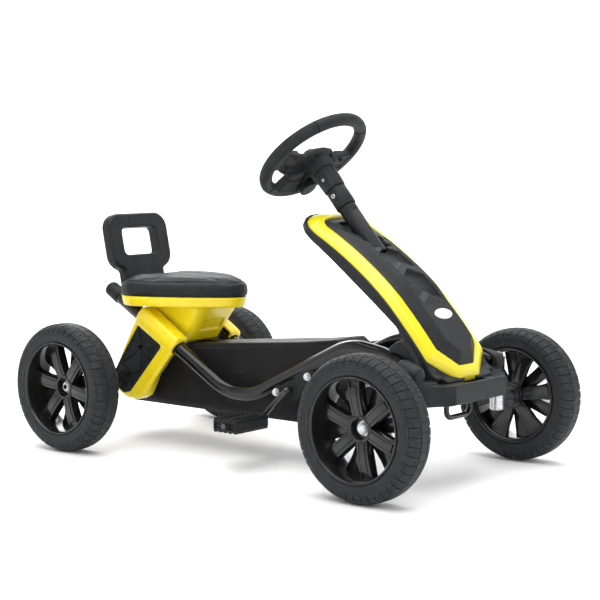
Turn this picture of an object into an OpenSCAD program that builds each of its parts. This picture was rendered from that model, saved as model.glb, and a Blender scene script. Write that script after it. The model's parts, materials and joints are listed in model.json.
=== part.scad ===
// Pedal go kart: bent side tubes, fixed-drive chain, steered front wheels.
// Frame: origin on the ground in the middle of the wheelbase,
// +X forward, +Y to the driver's left, +Z up, millimetres.

/* [Wheels] */
// Distance between the front and rear axles
wheelbase = 730; // [720:1:740]
// Distance between the two front wheel centres
front_track = 488; // [484:1:492]
// Distance between the two rear wheel centres
rear_track = 472; // [468:1:476]
// Outside diameter of each tyre
wheel_d = 250; // [246:1:252]
// Width of each tyre
tyre_w = 62; // [58:1:64]
// Radius of the rim's outer lip
rim_lip_r = 90; // [88:0.5:92]
// Number of spokes in each wheel
spokes = 6; // [5:1:7]

/* [Frame] */
// Outside diameter of the bent side tubes
tube_d = 28; // [26:0.5:28]
// Wall of the side tubes
tube_wall = 1.5; // [1.2:0.1:2.5]
// Distance of each side tube from the centre plane
tube_y = 78; // [78:0.5:79]
// Diameter of the axles and kingpins
axle_d = 12; // [11:0.5:12]
// Radial running clearance in every bearing
run_gap = 0.06; // [0.03:0.01:0.1]

/* [Drive] */
// Crank throw, from crank axle to pedal pin
crank_throw = 85; // [78:1:86]
// Teeth on the chainring
ring_teeth = 25; // [23:1:26]
// Teeth on the rear sprocket
sprocket_teeth = 13; // [12:1:14]
// Chain pitch
chain_pitch = 12.7; // [12.7]

/* [Steering] */
// Radius of the steering wheel rim's centre line
sw_r = 102; // [96:1:104]
// Radius of the steering wheel rim's section
sw_tube_r = 12; // [10:0.5:12.5]
// Angle of the steering column from the vertical
col_lean = 40.25; // [40.25]
// Length of the steering arms
arm_len = 60; // [60]

/* [Seat] */
// Height of the top of the yellow seat pan
pan_z = 298; // [297:0.5:299]
// Half length of the seat
seat_a = 130; // [126:1:131]
// Half width of the seat
seat_b = 120; // [112:1:122]
// Lean of the backrest
back_lean = 12; // [8:1:14]

/* [Hidden] */
$fn = 48;
AX = wheelbase / 2;
ZW = wheel_d / 2;
YF = front_track / 2;
YR = rear_track / 2;
TR = tube_d / 2;
AR = axle_d / 2;
KY = 170;             // kingpin distance from the centre plane
CC = [63, 0, 574];    // centre of the steering wheel
CK = [80, 0, 145];    // crank axle
CHY = -14;            // chain plane
SPR = chain_pitch / (2 * sin(180 / sprocket_teeth));
RGR = chain_pitch / (2 * sin(180 / ring_teeth));

// Corner points of a side tube, before the bends are rounded
TUBE = [[-399, tube_y, 303.8], [-56.7, tube_y, 105.9], [212, tube_y, 235.8],
        [292, 84, 225], [380, 123, 203]];
TUBE_R = [0, 135, 110, 90, 0];

// Lines of the nose fairing seen from the side, [x, z]
NOSE_OUT = [[124, 449], [131, 440], [160, 420], [196, 397], [232, 375], [268, 348], [294, 323],
            [319, 298], [347, 268], [367, 246], [386, 225]];
NOSE_IN = [[136, 454], [148, 446], [175, 430], [212, 407], [247, 383], [279, 357], [309, 331],
           [335, 302], [352, 283], [370, 263], [388, 244]];
NOSE_LOW = [[112, 441], [120, 431], [161, 401], [198, 374], [234, 346], [269, 318], [295, 296],
            [313, 281], [327, 271]];
NOSE_CROWN = [[150, 457], [172, 443], [214, 414], [243, 396], [268, 379], [294, 357], [317, 337],
              [333, 323], [354, 301], [370, 284], [383, 269], [397, 240], [410, 214]];

// ---------- helpers ----------
function unit(v) = v / norm(v);

// straight ring or bar from a to b
module bar(a, b, r, ri = 0) {
  v = b - a;
  L = norm(v);
  translate(a) rotate([0, acos(v[2] / L), atan2(v[1], v[0])])
    linear_extrude(L) difference() { circle(r); if (ri > 0) circle(ri); }
}

// bend at corner p between directions u (arriving) and w (leaving)
module bend(p, u, w, R, r, ri = 0) {
  th = acos(u * w);
  c = p + unit(w - u) * R / cos(th / 2);
  s = p - u * R * tan(th / 2);
  e1 = unit(s - c);
  e3 = unit(cross(u, w));
  e2 = cross(e3, e1);
  multmatrix([[e1[0], e2[0], e3[0], c[0]], [e1[1], e2[1], e3[1], c[1]], [e1[2], e2[2], e3[2], c[2]]])
    rotate_extrude(angle = th) translate([R, 0]) difference() { circle(r); if (ri > 0) circle(ri); }
}

// bent bar through corner points P with bend radii B, with a fine weld bead
// where each bend starts and ends
module bent_tube(P, B, r) {
  n = len(P);
  for (i = [0:n - 2]) {
    u = unit(P[i + 1] - P[i]);
    ta = i == 0 ? 0 : B[i] * tan(acos(unit(P[i] - P[i - 1]) * u) / 2);
    tb = i == n - 2 ? 0 : B[i + 1] * tan(acos(u * unit(P[i + 2] - P[i + 1])) / 2);
    bar(P[i] + u * ta, P[i + 1] - u * tb, r);
    if (i > 0) translate(P[i] + u * ta) sphere(r + 0.15);
    if (i < n - 2) translate(P[i + 1] - u * tb) sphere(r + 0.15);
    if (i < n - 2) bend(P[i + 1], u, unit(P[i + 2] - P[i + 1]), B[i + 1], r);
  }
}

// outline in the XZ plane, extruded from y0 to y1
module yex(y0, y1, pts) { translate([0, y1, 0]) rotate([90, 0, 0]) linear_extrude(y1 - y0) polygon(pts); }
module ycyl(x, z, y0, y1, r) { translate([x, y1, z]) rotate([90, 0, 0]) cylinder(h = y1 - y0, r = r); }
// the same on both sides of the centre plane
module both() { children(); mirror([0, 1, 0]) children(); }
module right() { mirror([0, 1, 0]) children(); }
// steering column frame: z up the column, x forward and up, y left
module column_frame() { translate(CC) rotate([0, -col_lean, 0]) children(); }
module hexbar(r, h) { cylinder(h = h, r = r, $fn = 6); }
function tube_z(x) = 172 - 0.578 * (x + 171);

// ---------- wheels, axis along +Z, outboard side up ----------
module tyre() {
  w = tyre_w / 2;
  color([0.09, 0.09, 0.095]) rotate_extrude($fn = 96) polygon([[87.05, -26.8], [rim_lip_r + 0.3, -26.8],
    [rim_lip_r + 1.5, -w + 1], [105, -w], [115, -w + 1.2], [121, -w + 6], [124.2, -w + 13], [ZW, -w + 20],
    [ZW, w - 20], [124.2, w - 13], [121, w - 6], [115, w - 1.2], [105, w], [rim_lip_r + 1.5, w - 1],
    [rim_lip_r + 0.3, 26.8], [87.05, 26.8]]);
}

module rim(phase, bore_r) {
  color([0.06, 0.06, 0.065]) difference() {
    union() {
      difference() {
        union() {
          translate([0, 0, -30]) cylinder(h = 60, r = 87);
          for (z = [-30, 27]) translate([0, 0, z]) cylinder(h = 3, r = rim_lip_r);
        }
        translate([0, 0, -31]) cylinder(h = 62, r = 83);
      }
      translate([0, 0, -32]) cylinder(h = 42, r = 24);
      for (i = [0:spokes - 1]) rotate([0, 0, phase + i * 360 / spokes])
        translate([22, -12, -6]) cube([63, 24, 15]);
      for (i = [0:spokes - 1]) rotate([0, 0, phase + (i + 0.5) * 360 / spokes])
        translate([22.5, -12.5, -24]) cube([62.5, 25, 12]);
    }
    translate([0, 0, -40]) cylinder(h = 60, r = bore_r);
    translate([0, 0, -5]) cylinder(h = 20, r = 17);
  }
}
// wheel on the right (outboard -Y) or on the left (outboard +Y)
module place_right(x, y) { translate([x, -y, ZW]) rotate([90, 0, 0]) children(); }
module place_left(x, y) { translate([x, y, ZW]) rotate([-90, 0, 0]) children(); }

module front_right_tyre() place_right(AX, YF) tyre();
module front_right_rim() place_right(AX, YF) rim(40, AR + run_gap);
module front_left_tyre() place_left(AX, YF) tyre();
module front_left_rim() place_left(AX, YF) rim(20, AR + run_gap);
module rear_right_tyre() place_right(-AX, YR) tyre();
module rear_right_rim() place_right(-AX, YR) rim(50, AR + run_gap);
module rear_left_tyre() place_left(-AX, YR) tyre();
module rear_left_rim() place_left(-AX, YR) rim(10, AR + 0.02);

// ---------- frame ----------
function stretched(P, d) = let (n = len(P)) [for (i = [0:n - 1])
  i == 0 ? P[0] - d * unit(P[1] - P[0]) : i == n - 1 ? P[i] + d * unit(P[i] - P[i - 1]) : P[i]];
module side_tube() difference() {
  bent_tube(TUBE, TUBE_R, TR);
  bent_tube(stretched(TUBE, 2), TUBE_R, TR - tube_wall);
}
module left_side_tube() color([0.03, 0.03, 0.035]) side_tube();
module right_side_tube() color([0.03, 0.03, 0.035]) right() side_tube();

// rounded plastic caps over the rear ends of the side tubes
module tube_end_caps() color([0.16, 0.16, 0.17]) both() {
  u = unit(TUBE[1] - TUBE[0]);
  translate([0, tube_y, 0]) translate([TUBE[0][0], 0, TUBE[0][2]]) rotate([0, acos(u[2]), 0])
    translate([0, 0, -6]) difference() {
      union() { cylinder(h = 36, r = 15.6); rotate_extrude() intersection() { translate([0, -4]) square([14, 8]); translate([10, 0]) circle(4); } translate([0, 0, -4]) cylinder(h = 5, r = 10); }
      translate([0, 0, 5.9]) cylinder(h = 60, r = TR + 0.05);
    }
}

module rear_cross_tube() color([0.03, 0.03, 0.035]) difference() {
  translate([-372, 64, 288]) rotate([90, 0, 0]) linear_extrude(128) difference() { circle(10); circle(8.5); }
  both() bar([-420, tube_y, tube_z(-420)], [-330, tube_y, tube_z(-330)], TR + 0.02);
  for (y = [-30, 30]) translate([-400, y, 288]) rotate([0, 90, 0]) cylinder(h = 60, r = 3.1);
}

// tube across the front with a kingpin sleeve at each end
module front_axle_beam() color([0.03, 0.03, 0.035]) difference() {
  union() {
    ycyl(AX, 170, -KY + 8, KY - 8, 12.5);
    for (s = [-1, 1]) translate([AX, s * KY, 142]) cylinder(h = 56, r = 13);
    for (s = [-1, 1]) translate([AX - 6, s * 118 - 3, 175]) cube([12, 6, 22]);
  }
  for (s = [-1, 1]) translate([AX, s * KY, 100]) cylinder(h = 120, r = AR + run_gap);
  ycyl(AX, 170, -KY + 16, KY - 16, 10.5);
  both() bar(TUBE[3], TUBE[4], TR + 0.02);
}

module centre_tube() color([0.03, 0.03, 0.035]) difference() {
  translate([178, -12, 151]) cube([178, 24, 24]);
  translate([170, -10, 153]) cube([200, 20, 20]);
  ycyl(AX, 170, -40, 40, 12.55);
}

// bent round bar under the bumper
module front_hoop() color([0.12, 0.12, 0.125])
  bent_tube([[391, -37, 162], [391, -37, 117], [391, 37, 117], [391, 37, 162]], [0, 14, 14, 0], 5);

module rear_axle_brackets() color([0.05, 0.05, 0.055]) both() difference() {
  yex(66, 70, [[-388, 118], [-380, 104], [-350, 104], [-338, 122], [-285, 222], [-285, 236], [-311, 250], [-371, 148]]);
  ycyl(-AX, ZW, 60, 80, 9);
  bar([-420, tube_y, tube_z(-420)], [-200, tube_y, tube_z(-200)], TR + 0.02);
}

module rear_bearings() color([0.08, 0.08, 0.085]) both() difference() {
  union() { ycyl(-AX, ZW, 70.1, 101, 16.8); ycyl(-AX, ZW, 62, 70.1, 8.9); }
  ycyl(-AX, ZW, 50, 110, AR + run_gap);
}

// housings hung under the side tubes for the crank axle
module crank_bearings() color([0.10, 0.10, 0.105]) both() difference() {
  union() {
    yex(68, 88, [[34, 130], [44, 124], [96, 124], [106, 134], [134, 170], [134, 188], [118, 192], [34, 150]]);
    ycyl(CK[0], CK[2], 54, 88, 13);
  }
  bar([-56.7, tube_y, 105.9], [212, tube_y, 235.8], TR + 0.03);
  ycyl(CK[0], CK[2], 40, 100, 5 + run_gap);
  for (p = [[46, 136.5], [121, 172]]) ycyl(p[0], p[1], 60, 100, 3.1);
}

// bolts through the crank housings
module frame_bolts() color([0.75, 0.75, 0.76]) both() for (p = [[46, 136.5], [121, 172]]) {
  ycyl(p[0], p[1], 62, 88.1, 3);
  ycyl(p[0], p[1], 88.1, 90, 7.5);
  translate([p[0], 94.5, p[1]]) rotate([90, 0, 0]) hexbar(5.6, 4.5);
  translate([p[0], 67.9, p[1]]) rotate([90, 0, 0]) hexbar(5.6, 4.5);
}

// ---------- chain case ----------
CASE = [[-415, 120], [-408, 98], [-392, 82], [-370, 75], [150, 75], [168, 82], [176, 98], [176, 205],
        [168, 226], [149, 238], [76, 229], [-50, 218], [-195, 205], [-300, 192], [-380, 176], [-405, 158], [-414, 140]];
CASE_IN = [[-412, 120], [-405.5, 99.5], [-390.5, 84.7], [-369.6, 78], [149.4, 78], [165.8, 84.2], [173, 98.7], [173, 204.2],
        [165.6, 223.9], [148.7, 234.9], [76.3, 226], [-49.7, 215], [-194.6, 202], [-299.5, 189], [-378.7, 173.2], [-402.8, 156], [-411, 139.5]];
module case_half() {
  difference() {
    union() {
      yex(0.05, 49, CASE);
      yex(49, 52, [[-405, 120], [-399, 101], [-386, 88], [-368, 81], [146, 81], [160, 88], [168, 101], [168, 200], [160, 219], [146, 228],
                   [76, 221], [-50, 210], [-195, 197], [-299, 184], [-377, 169], [-398, 154], [-405, 140]]);
      yex(51.9, 54, [[-92, 141], [-60, 141], [-60, 160], [-92, 160]]);
    }
    yex(-1, 46, CASE_IN);
    ycyl(-AX, ZW, 30, 60, 10);
    ycyl(CK[0], CK[2], 30, 60, 8);
  }
}
module left_chain_case() color([0.07, 0.07, 0.075]) case_half();
module right_chain_case() color([0.07, 0.07, 0.075]) right() case_half();

// chain: two side plates all the way round, rollers on the straight runs
function belt_dir() = let (d = norm([CK[0] + AX, CK[2] - ZW])) asin((RGR - SPR) / d);
module belt2d(o) {
  // outline round both gears at distance o outside the pitch line
  a = atan2(CK[2] - ZW, CK[0] + AX);
  b = belt_dir();
  polygon(concat(
    [for (i = [0:24]) let (t = a + 90 + b + i * (180 - 2 * b) / 24) [-AX + (SPR + o) * cos(t), ZW + (SPR + o) * sin(t)]],
    [for (i = [0:24]) let (t = a - 90 - b + i * (180 + 2 * b) / 24) [CK[0] + (RGR + o) * cos(t), CK[2] + (RGR + o) * sin(t)]]));
}
module chain() color([0.35, 0.34, 0.33]) {
  a = atan2(CK[2] - ZW, CK[0] + AX);
  b = belt_dir();
  L = norm([CK[0] + AX, CK[2] - ZW]) * cos(b);
  for (s = [-1, 1]) translate([0, CHY + s * 2.4 + 0.6, 0]) rotate([90, 0, 0]) linear_extrude(1.2)
    difference() { belt2d(4); belt2d(-4); }
  for (s = [-1, 1]) for (k = [4:floor(L / chain_pitch) - 4]) {
    p0 = [-AX, ZW] + SPR * [cos(a + s * (90 + b)), sin(a + s * (90 + b))];
    p = p0 + k * chain_pitch * [cos(a + s * b), sin(a + s * b)];
    ycyl(p[0], p[1], CHY - 2.5, CHY + 2.5, 2.6);
  }
}

// toothed wheel in the XZ plane, thickness t, centred on the chain plane
module gear(x, z, n, pr, hole, ph) {
  translate([x, CHY + 1.2, z]) rotate([90, 0, 0]) linear_extrude(2.4) difference() {
    polygon([for (i = [0:n - 1]) for (q = [[-0.34, pr - 3.2], [-0.12, pr + 2.6], [0.12, pr + 2.6], [0.34, pr - 3.2]])
      let (t = ph + (i + 0.5 + q[0]) * 360 / n) [q[1] * cos(t), q[1] * sin(t)]]);
    circle(hole);
  }
}

// ---------- rear axle ----------
module rear_axle() color([0.7, 0.7, 0.72]) ycyl(-AX, ZW, -YR - 5.6, YR + 5.6, AR);
module rear_sprocket() color([0.5, 0.5, 0.52]) difference() {
  union() { gear(-AX, ZW, sprocket_teeth, SPR, AR + 0.02, 0); ycyl(-AX, ZW, CHY + 1.2, CHY + 14, 12); ycyl(-AX, ZW, CHY + 13, CHY + 14, 12); }
  ycyl(-AX, ZW, CHY - 20, CHY + 30, AR + 0.02);
}
module axle_spacers() color([0.09, 0.09, 0.095]) both() difference() {
  ycyl(-AX, ZW, 101.5, YR - 32.3, 9.5);
  ycyl(-AX, ZW, 90, 220, AR + 0.02);
}
module hub_nut() {
  // washer and nut, outboard side up, wheel centre at the origin
  color([0.8, 0.8, 0.8]) difference() {
    union() {
      translate([0, 0, -4.9]) cylinder(h = 1.6, r = 13);
      translate([0, 0, -3.2]) cylinder(h = 7.2, r = 10.4, $fn = 6);
    }
    translate([0, 0, -10]) cylinder(h = 30, r = AR + 0.02);
  }
}
module rear_axle_nuts() { place_right(-AX, YR) hub_nut(); place_left(-AX, YR) hub_nut(); }

// ---------- crank and pedals ----------
PIN = [CK[0] - crank_throw * cos(45), CK[2] - crank_throw * sin(45)];
POUT = [CK[0] + crank_throw * cos(45), CK[2] + crank_throw * sin(45)];
module crank() color([0.5, 0.5, 0.52])
  bent_tube([[PIN[0], -207, PIN[1]], [PIN[0], -102, PIN[1]], [CK[0], -102, CK[2]], [CK[0], 102, CK[2]],
    [POUT[0], 102, POUT[1]], [POUT[0], 207, POUT[1]]], [0, 9, 9, 9, 9, 0], 5);
module chainring() color([0.4, 0.4, 0.42]) difference() {
  union() { gear(CK[0], CK[2], ring_teeth, RGR, 5.02, 3); ycyl(CK[0], CK[2], CHY + 1.2, CHY + 12, 12); }
  ycyl(CK[0], CK[2], CHY - 20, CHY + 30, 5.02);
  for (i = [0:4]) translate([CK[0], 0, CK[2]]) rotate([0, i * 72, 0]) ycyl(30, 0, CHY - 9, CHY + 9, 11);
}
module pedal_clips() color([0.75, 0.75, 0.76]) {
  difference() { ycyl(PIN[0], PIN[1], -206.5, -204.4, 8); ycyl(PIN[0], PIN[1], -210, -200, 5.02); }
  difference() { ycyl(POUT[0], POUT[1], 204.4, 206.5, 8); ycyl(POUT[0], POUT[1], 200, 210, 5.02); }
}
// pedal block on a pin at x, z, from y0 to y1, with tread ribs
module pedal(x, z, y0, y1) color([0.12, 0.12, 0.125]) difference() {
  union() {
    translate([x - 29, y0, z - 11]) cube([58, y1 - y0, 22]);
    for (i = [0:4]) translate([x - 27 + i * 12, y0, z - 13]) cube([6, y1 - y0, 26]);
  }
  ycyl(x, z, y0 - 5, y1 + 5, 5 + run_gap);
  for (s = [-1, 1]) translate([x + s * 17 - 5, y0 + 12, z - 20]) cube([10, y1 - y0 - 24, 40]);
}
module right_pedal() pedal(PIN[0], PIN[1], -204, -113);
module left_pedal() pedal(POUT[0], POUT[1], 113, 204);

// ---------- side covers ----------
COVER = [[-312, 263], [-300, 275], [-288, 271], [-212, 223], [-203, 216], [-205, 209], [-224, 184], [-300, 95], [-318, 87],
         [-345, 88], [-362, 96], [-384, 112], [-386, 138], [-374, 152]];
COVER_IN = [[-307, 260], [-298, 270], [-289, 266], [-214, 219], [-208, 214], [-210, 209], [-228, 185], [-303, 98], [-319, 91],
            [-344, 92], [-360, 99.5], [-380, 114], [-381.5, 136], [-370, 150]];
module side_cover() {
  a = [-312, tube_y, tube_z(-312)];
  b = [-216, tube_y, tube_z(-216)];
  difference() {
    union() { yex(64.5, 97, COVER); bar(a, b, 18.5); }
    yex(60, 93, COVER_IN);
    bar([-420, tube_y, tube_z(-420)], [-150, tube_y, tube_z(-150)], TR + 0.05);
    ycyl(-AX, ZW, 60, 110, 17.1);
    translate([-420, 40, 80]) cube([300, 24.5, 220]);
  }
}
module left_side_cover() color([0.93, 0.83, 0.16]) side_cover();
module right_side_cover() color([0.93, 0.83, 0.16]) right() side_cover();
module cover_insert() difference() {
  union() {
    yex(97.05, 99.5, [[-309, 238], [-247, 203], [-246, 198], [-333, 102], [-352, 98], [-377.5, 114.5], [-381, 136], [-373, 148]]);
    yex(99.5, 101, [[-308, 232], [-257, 203], [-298, 184], [-335, 196]]);
    yex(99.5, 100.6, [[-298, 180], [-259, 196], [-306, 142], [-328, 150]]);
  }
  ycyl(-AX, ZW, 90, 110, 17.1);
}
module left_cover_insert() color([0.10, 0.10, 0.105]) cover_insert();
module right_cover_insert() color([0.10, 0.10, 0.105]) right() cover_insert();

// ---------- seat ----------
function seat_pt(k, t) = let (c = cos(t), s = sin(t), X = k * seat_a * sign(c) * pow(abs(c), 0.8),
  Y = k * seat_b * sign(s) * pow(abs(s), 0.8)) [-243 + X, Y * (1 - 0.56 * X / (k * seat_a)) * 0.86];
module seat_outline(k) polygon([for (i = [0:47]) seat_pt(k, i * 7.5)]);
module frustum(z0, z1, b, t) hull() {
  translate([0, 0, z0]) linear_extrude(0.01) polygon(b);
  translate([0, 0, z1 - 0.01]) linear_extrude(0.01) polygon(t);
}
module seat_pan() color([0.93, 0.83, 0.16]) difference() {
  union() {
    difference() {
      translate([0, 0, pan_z - 20]) linear_extrude(20) seat_outline(0.955);
      translate([0, 0, pan_z - 17]) linear_extrude(20) seat_outline(0.92);
    }
    difference() {
      frustum(206, pan_z - 19.9, [[-218, 47], [-218, -47], [-306, -50], [-306, 50]], [[-171, 61], [-171, -61], [-322, -61.5], [-322, 61.5]]);
      frustum(210, pan_z - 24, [[-222, 43], [-222, -43], [-302, -46], [-302, 46]], [[-176, 57], [-176, -57], [-318, -57.5], [-318, 57.5]]);
    }
  }
  both() bar([-420, tube_y, tube_z(-420)], [-150, tube_y, tube_z(-150)], TR + 0.3);
  translate([-420, -70, 270]) cube([72, 140, 40]);
  translate([-204, -30, 235]) rotate([0, 34, 0]) cube([20, 60, 18]);
}
module seat_pad() color([0.13, 0.13, 0.135]) difference() {
  union() {
    translate([0, 0, pan_z + 0.3]) linear_extrude(27) seat_outline(1);
    translate([0, 0, pan_z + 27.2]) linear_extrude(8) seat_outline(0.95);
    translate([0, 0, pan_z + 35.1]) linear_extrude(6) seat_outline(0.86);
  }
  both() bar([-420, tube_y, tube_z(-420)], [-150, tube_y, tube_z(-150)], TR + 0.3);
  both() translate([-420, 37, pan_z]) cube([71, 17, 9]);
}
module seat_brackets() color([0.45, 0.45, 0.46]) both() difference() {
  union() {
    translate([-386, 50, 275]) cube([22, 3, 32]);
    translate([-386, 38, 303]) cube([60, 15, 3]);
  }
  ycyl(-372, 288, 40, 60, 10.05);
  translate([-352, 30, 270]) cube([60, 40, 32]);
  translate([-349.5, 30, pan_z]) cube([60, 40, 10]);
}
module rrect(w, h, r) { square([w, h - 2 * r], center = true); square([w - 2 * r, h], center = true);
  for (x = [-1, 1]) for (y = [-1, 1]) translate([x * (w / 2 - r), y * (h / 2 - r)]) circle(r); }
module back_frame() { translate([-382, 0, 340]) rotate([0, -back_lean, 0]) children(); }
module backrest() color([0.16, 0.16, 0.17]) difference() {
  back_frame() union() {
    difference() {
      translate([-25, 0, 62]) rotate([90, 0, 90]) linear_extrude(25) difference() { rrect(167, 116, 32); rrect(96, 56, 10); }
      for (y = [-27.5, 27.5]) translate([-0.8, y - 0.6, 0]) cube([2, 1.2, 130]);
    }
    translate([-26, -55, -66]) cube([14, 110, 78]);
  }
  for (y = [-30, 30]) translate([-410, y, 288]) rotate([0, 90, 0]) cylinder(h = 60, r = 3.1);
  translate([-420, -60, 250]) cube([70, 120, 26]);
  translate([-382.2, -60, 250]) cube([30, 120, 55]);
}
module seat_bolts() color([0.75, 0.75, 0.76]) {
  for (y = [-30, 30]) translate([-404, y, 288]) rotate([0, 90, 0]) { cylinder(h = 40, r = 3); translate([0, 0, -1.5]) hexbar(5.6, 5); }
}

// ---------- front bodywork ----------
module bumper() color([0.08, 0.08, 0.085]) difference() {
  union() {
    translate([0, 0, 148]) linear_extrude(26) polygon([[350, -132], [396, -136], [412, -120], [424, -99], [440, -80],
      [440, 80], [424, 99], [412, 120], [396, 136], [350, 132], [350, 100], [372, 92], [384, 60], [384, -60], [372, -92], [350, -100]]);
    for (s = [-1, 1]) translate([0, 0, 173.9]) linear_extrude(10) polygon([[352, s * 100], [352, s * 131], [395, s * 135], [410, s * 118], [418, s * 98], [400, s * 88], [374, s * 92]]);
    both() bar([358, 113.2, 208.5], [386, 125.6, 201.5], 17.5);
    both() translate([386, 125.6, 201.5]) sphere(17.9);
  }
  ycyl(AX, 170, -160, 160, 13);
  both() bar(TUBE[3], [380.2, 123.09, 202.95], TR + 0.05);
  for (s = [-1, 1]) translate([AX - 6.2, s * 118 - 3.2, 165]) cube([12.4, 6.4, 34]);
  translate([300, -150, 120]) cube([200, 300, 28]);
  for (s = [-37, 37]) translate([391, s, 140]) cylinder(h = 22.1, r = 5.05);
}

function shift(P, dx, dz) = [for (p = P) [p[0] + dx, p[1] + dz]];
function rev(P) = [for (i = [len(P) - 1:-1:0]) P[i]];
module nose_trim() color([0.95, 0.88, 0.2]) {
  both() yex(61, 88, concat(shift(NOSE_OUT, 5, 6), rev(shift(NOSE_OUT, -1, -2))));
  translate([0, 0, 451]) linear_extrude(9) polygon([[131, 88], [112, 76], [99, 52], [95, 0], [99, -52], [112, -76], [131, -88],
    [140, -61], [129, -40], [126, 0], [129, 40], [140, 61]]);
  translate([385, 0, 223]) rotate([0, 53.13, 0]) linear_extrude(8) polygon([[-8, 88], [0, 88], [47, 31], [47, -31], [0, -88], [-8, -88],
    [-16, -61], [22, -23], [22, 23], [-16, 61]]);
}
module nose_base() color([0.08, 0.08, 0.085]) {
  both() yex(80, 91, concat(shift(NOSE_OUT, -1, -2), [[398, 206], [402, 186], [372, 186], [356, 218], [334, 257]], rev(NOSE_LOW)));
  both() yex(90.5, 104, [[330, 259], [308, 268], [294, 250], [300, 245], [318, 240], [338, 231], [345, 236]]);
  difference() {
    union() {
      yex(-80.5, 80.5, concat(NOSE_LOW, rev(shift(NOSE_LOW, 3, 3))));
      translate([0, 0, 440]) linear_extrude(10.9) polygon([[126, 90], [107, 78], [94, 52], [90, 0], [94, -52], [107, -78], [126, -90],
        [126, -70], [103, -40], [100, 0], [103, 40], [126, 70]]);
    }
    column_frame() translate([0, 0, -420]) cylinder(h = 300, r = 24);
  }
}
module nose_insert() color([0.09, 0.09, 0.095]) difference() {
  union() {
    yex(-60.8, 60.8, concat(NOSE_IN, rev(shift(NOSE_IN, -4, -4))));
    yex(-42, 42, concat(NOSE_CROWN, [[400, 214], [388, 240]], rev(NOSE_IN)));
  }
  column_frame() translate([0, 0, -420]) cylinder(h = 400, r = 17.6);
}
module nose_badge() color([0.95, 0.95, 0.95]) translate([365.1, 0, 289.5]) rotate([0, 48, 0]) {
  cylinder(h = 3, r = 11); for (s = [-14, 14]) translate([0, s, 0]) cylinder(h = 3, r = 11); translate([-11, -14, 0]) cube([22, 28, 3]);
}

// ---------- steering column ----------
module column_cover() color([0.10, 0.10, 0.105]) column_frame() translate([0, 0, -236]) linear_extrude(111)
  difference() { circle(17); circle(14); }
module column_bushes() color([0.85, 0.85, 0.82]) column_frame() for (z = [-147, -424]) translate([0, 0, z])
  linear_extrude(22) difference() { circle(13.95); circle(11 + run_gap); }
module column_bracket() color([0.05, 0.05, 0.055]) difference() {
  union() {
    column_frame() translate([0, 0, -424]) cylinder(h = 22, r = 19);
    both() yex(15, 19, [[352, 180], [356, 232], [338, 248], [330, 262], [346, 268], [372, 240], [380, 180]]);
  }
  column_frame() translate([0, 0, -440]) cylinder(h = 60, r = 14);
  ycyl(AX, 170, -40, 40, 12.55);
  column_frame() translate([0, 0, -460]) cylinder(h = 36, r = 15);
}
module steering_column() color([0.08, 0.08, 0.085]) column_frame() translate([0, 0, -456]) linear_extrude(430)
  difference() { circle(11); circle(9.4); }
// spider under the rim: two side arms and a wide lower arm with two finger gaps
SPIDER = [[14, -97], [-26, -94], [-36, -72], [-46, -43], [-64, -47], [-84, -47], [-84, 47], [-64, 47], [-46, 43], [-36, 72], [-26, 94], [14, 97],
          [12, 40], [28, 22], [28, -22], [12, -40]];
module steering_wheel() color([0.14, 0.14, 0.145]) column_frame() difference() {
  union() {
    rotate_extrude($fn = 72) translate([sw_r, 0]) circle(sw_tube_r, $fn = 32);
    translate([0, 0, -40]) cylinder(h = 36, r = 24.5);
    translate([0, 0, -13]) linear_extrude(9) polygon(SPIDER);
    for (s = [-1, 1]) translate([-12, s * 71 - 17, -4.1]) cube([24, 34, 8.1]);
    translate([-83, -44, -22]) cube([33, 40, 9.5]);
  }
  translate([0, 0, -42]) cylinder(h = 26, r = 11.02);
}
module wheel_pad() color([0.12, 0.12, 0.125]) column_frame() difference() {
  union() {
    translate([-30, -34, -3.9]) cube([48, 68, 4.4]);
    translate([-25, -28, 0.4]) cube([41, 56, 1.4]);
  }
  translate([0, 0, -4]) cylinder(h = 20, r = 14.2);
}
module horn_button() color([0.75, 0.1, 0.08]) column_frame() {
  translate([0, 0, -1.9]) cylinder(h = 5.4, r = 14);
}
// round speaker with rows of small holes, under one side of the lower arm
module horn_speaker() color([0.10, 0.10, 0.105]) column_frame() translate([-64, 22, -13.1]) difference() {
  translate([0, 0, -18]) cylinder(h = 18, r = 17);
  for (x = [-8, -4, 0, 4, 8]) for (y = [-8, -4, 0, 4, 8]) translate([x, y, -19]) cylinder(h = 4, r = 1);
}
module upper_collar() color([0.12, 0.12, 0.125]) column_frame() difference() {
  translate([0, 0, -83]) cylinder(h = 42.9, r = 22);
  translate([0, 0, -90]) cylinder(h = 80, r = 11.05);
  translate([0, -8, -60]) rotate([90, 0, 0]) cylinder(h = 40, r = 6.2);
  translate([0, 40, -60]) rotate([90, 0, 0]) cylinder(h = 80, r = 3.1);
}
module lower_collar() color([0.12, 0.12, 0.125]) column_frame() difference() {
  translate([0, 0, -123.5]) cylinder(h = 40.3, r = 19.7);
  translate([0, 0, -130]) cylinder(h = 60, r = 11.05);
  translate([0, -15, -98]) rotate([90, 0, 0]) cylinder(h = 20, r = 4.4);
}
module column_bolts() color([0.85, 0.85, 0.85]) column_frame() {
  translate([0, -11.1, -60]) rotate([90, 0, 0]) { cylinder(h = 8, r = 6); }
  translate([0, -15.1, -98]) rotate([90, 0, 0]) cylinder(h = 3.6, r = 4.2);
  translate([0, 0, -462]) cylinder(h = 5.9, r = 10.6, $fn = 6);
}
module drop_arm() color([0.3, 0.3, 0.31]) column_frame() difference() {
  union() {
    translate([0, 0, -454]) cylinder(h = 22, r = 13);
    translate([-66, -11, -444.5]) cube([62, 22, 5]);
    translate([-66, -12, -444.5]) cube([24, 24, 5]);
  }
  translate([0, 0, -460]) cylinder(h = 40, r = 11.02);
  translate([-70, -6, -450]) cube([27, 12, 16]);
}

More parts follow.
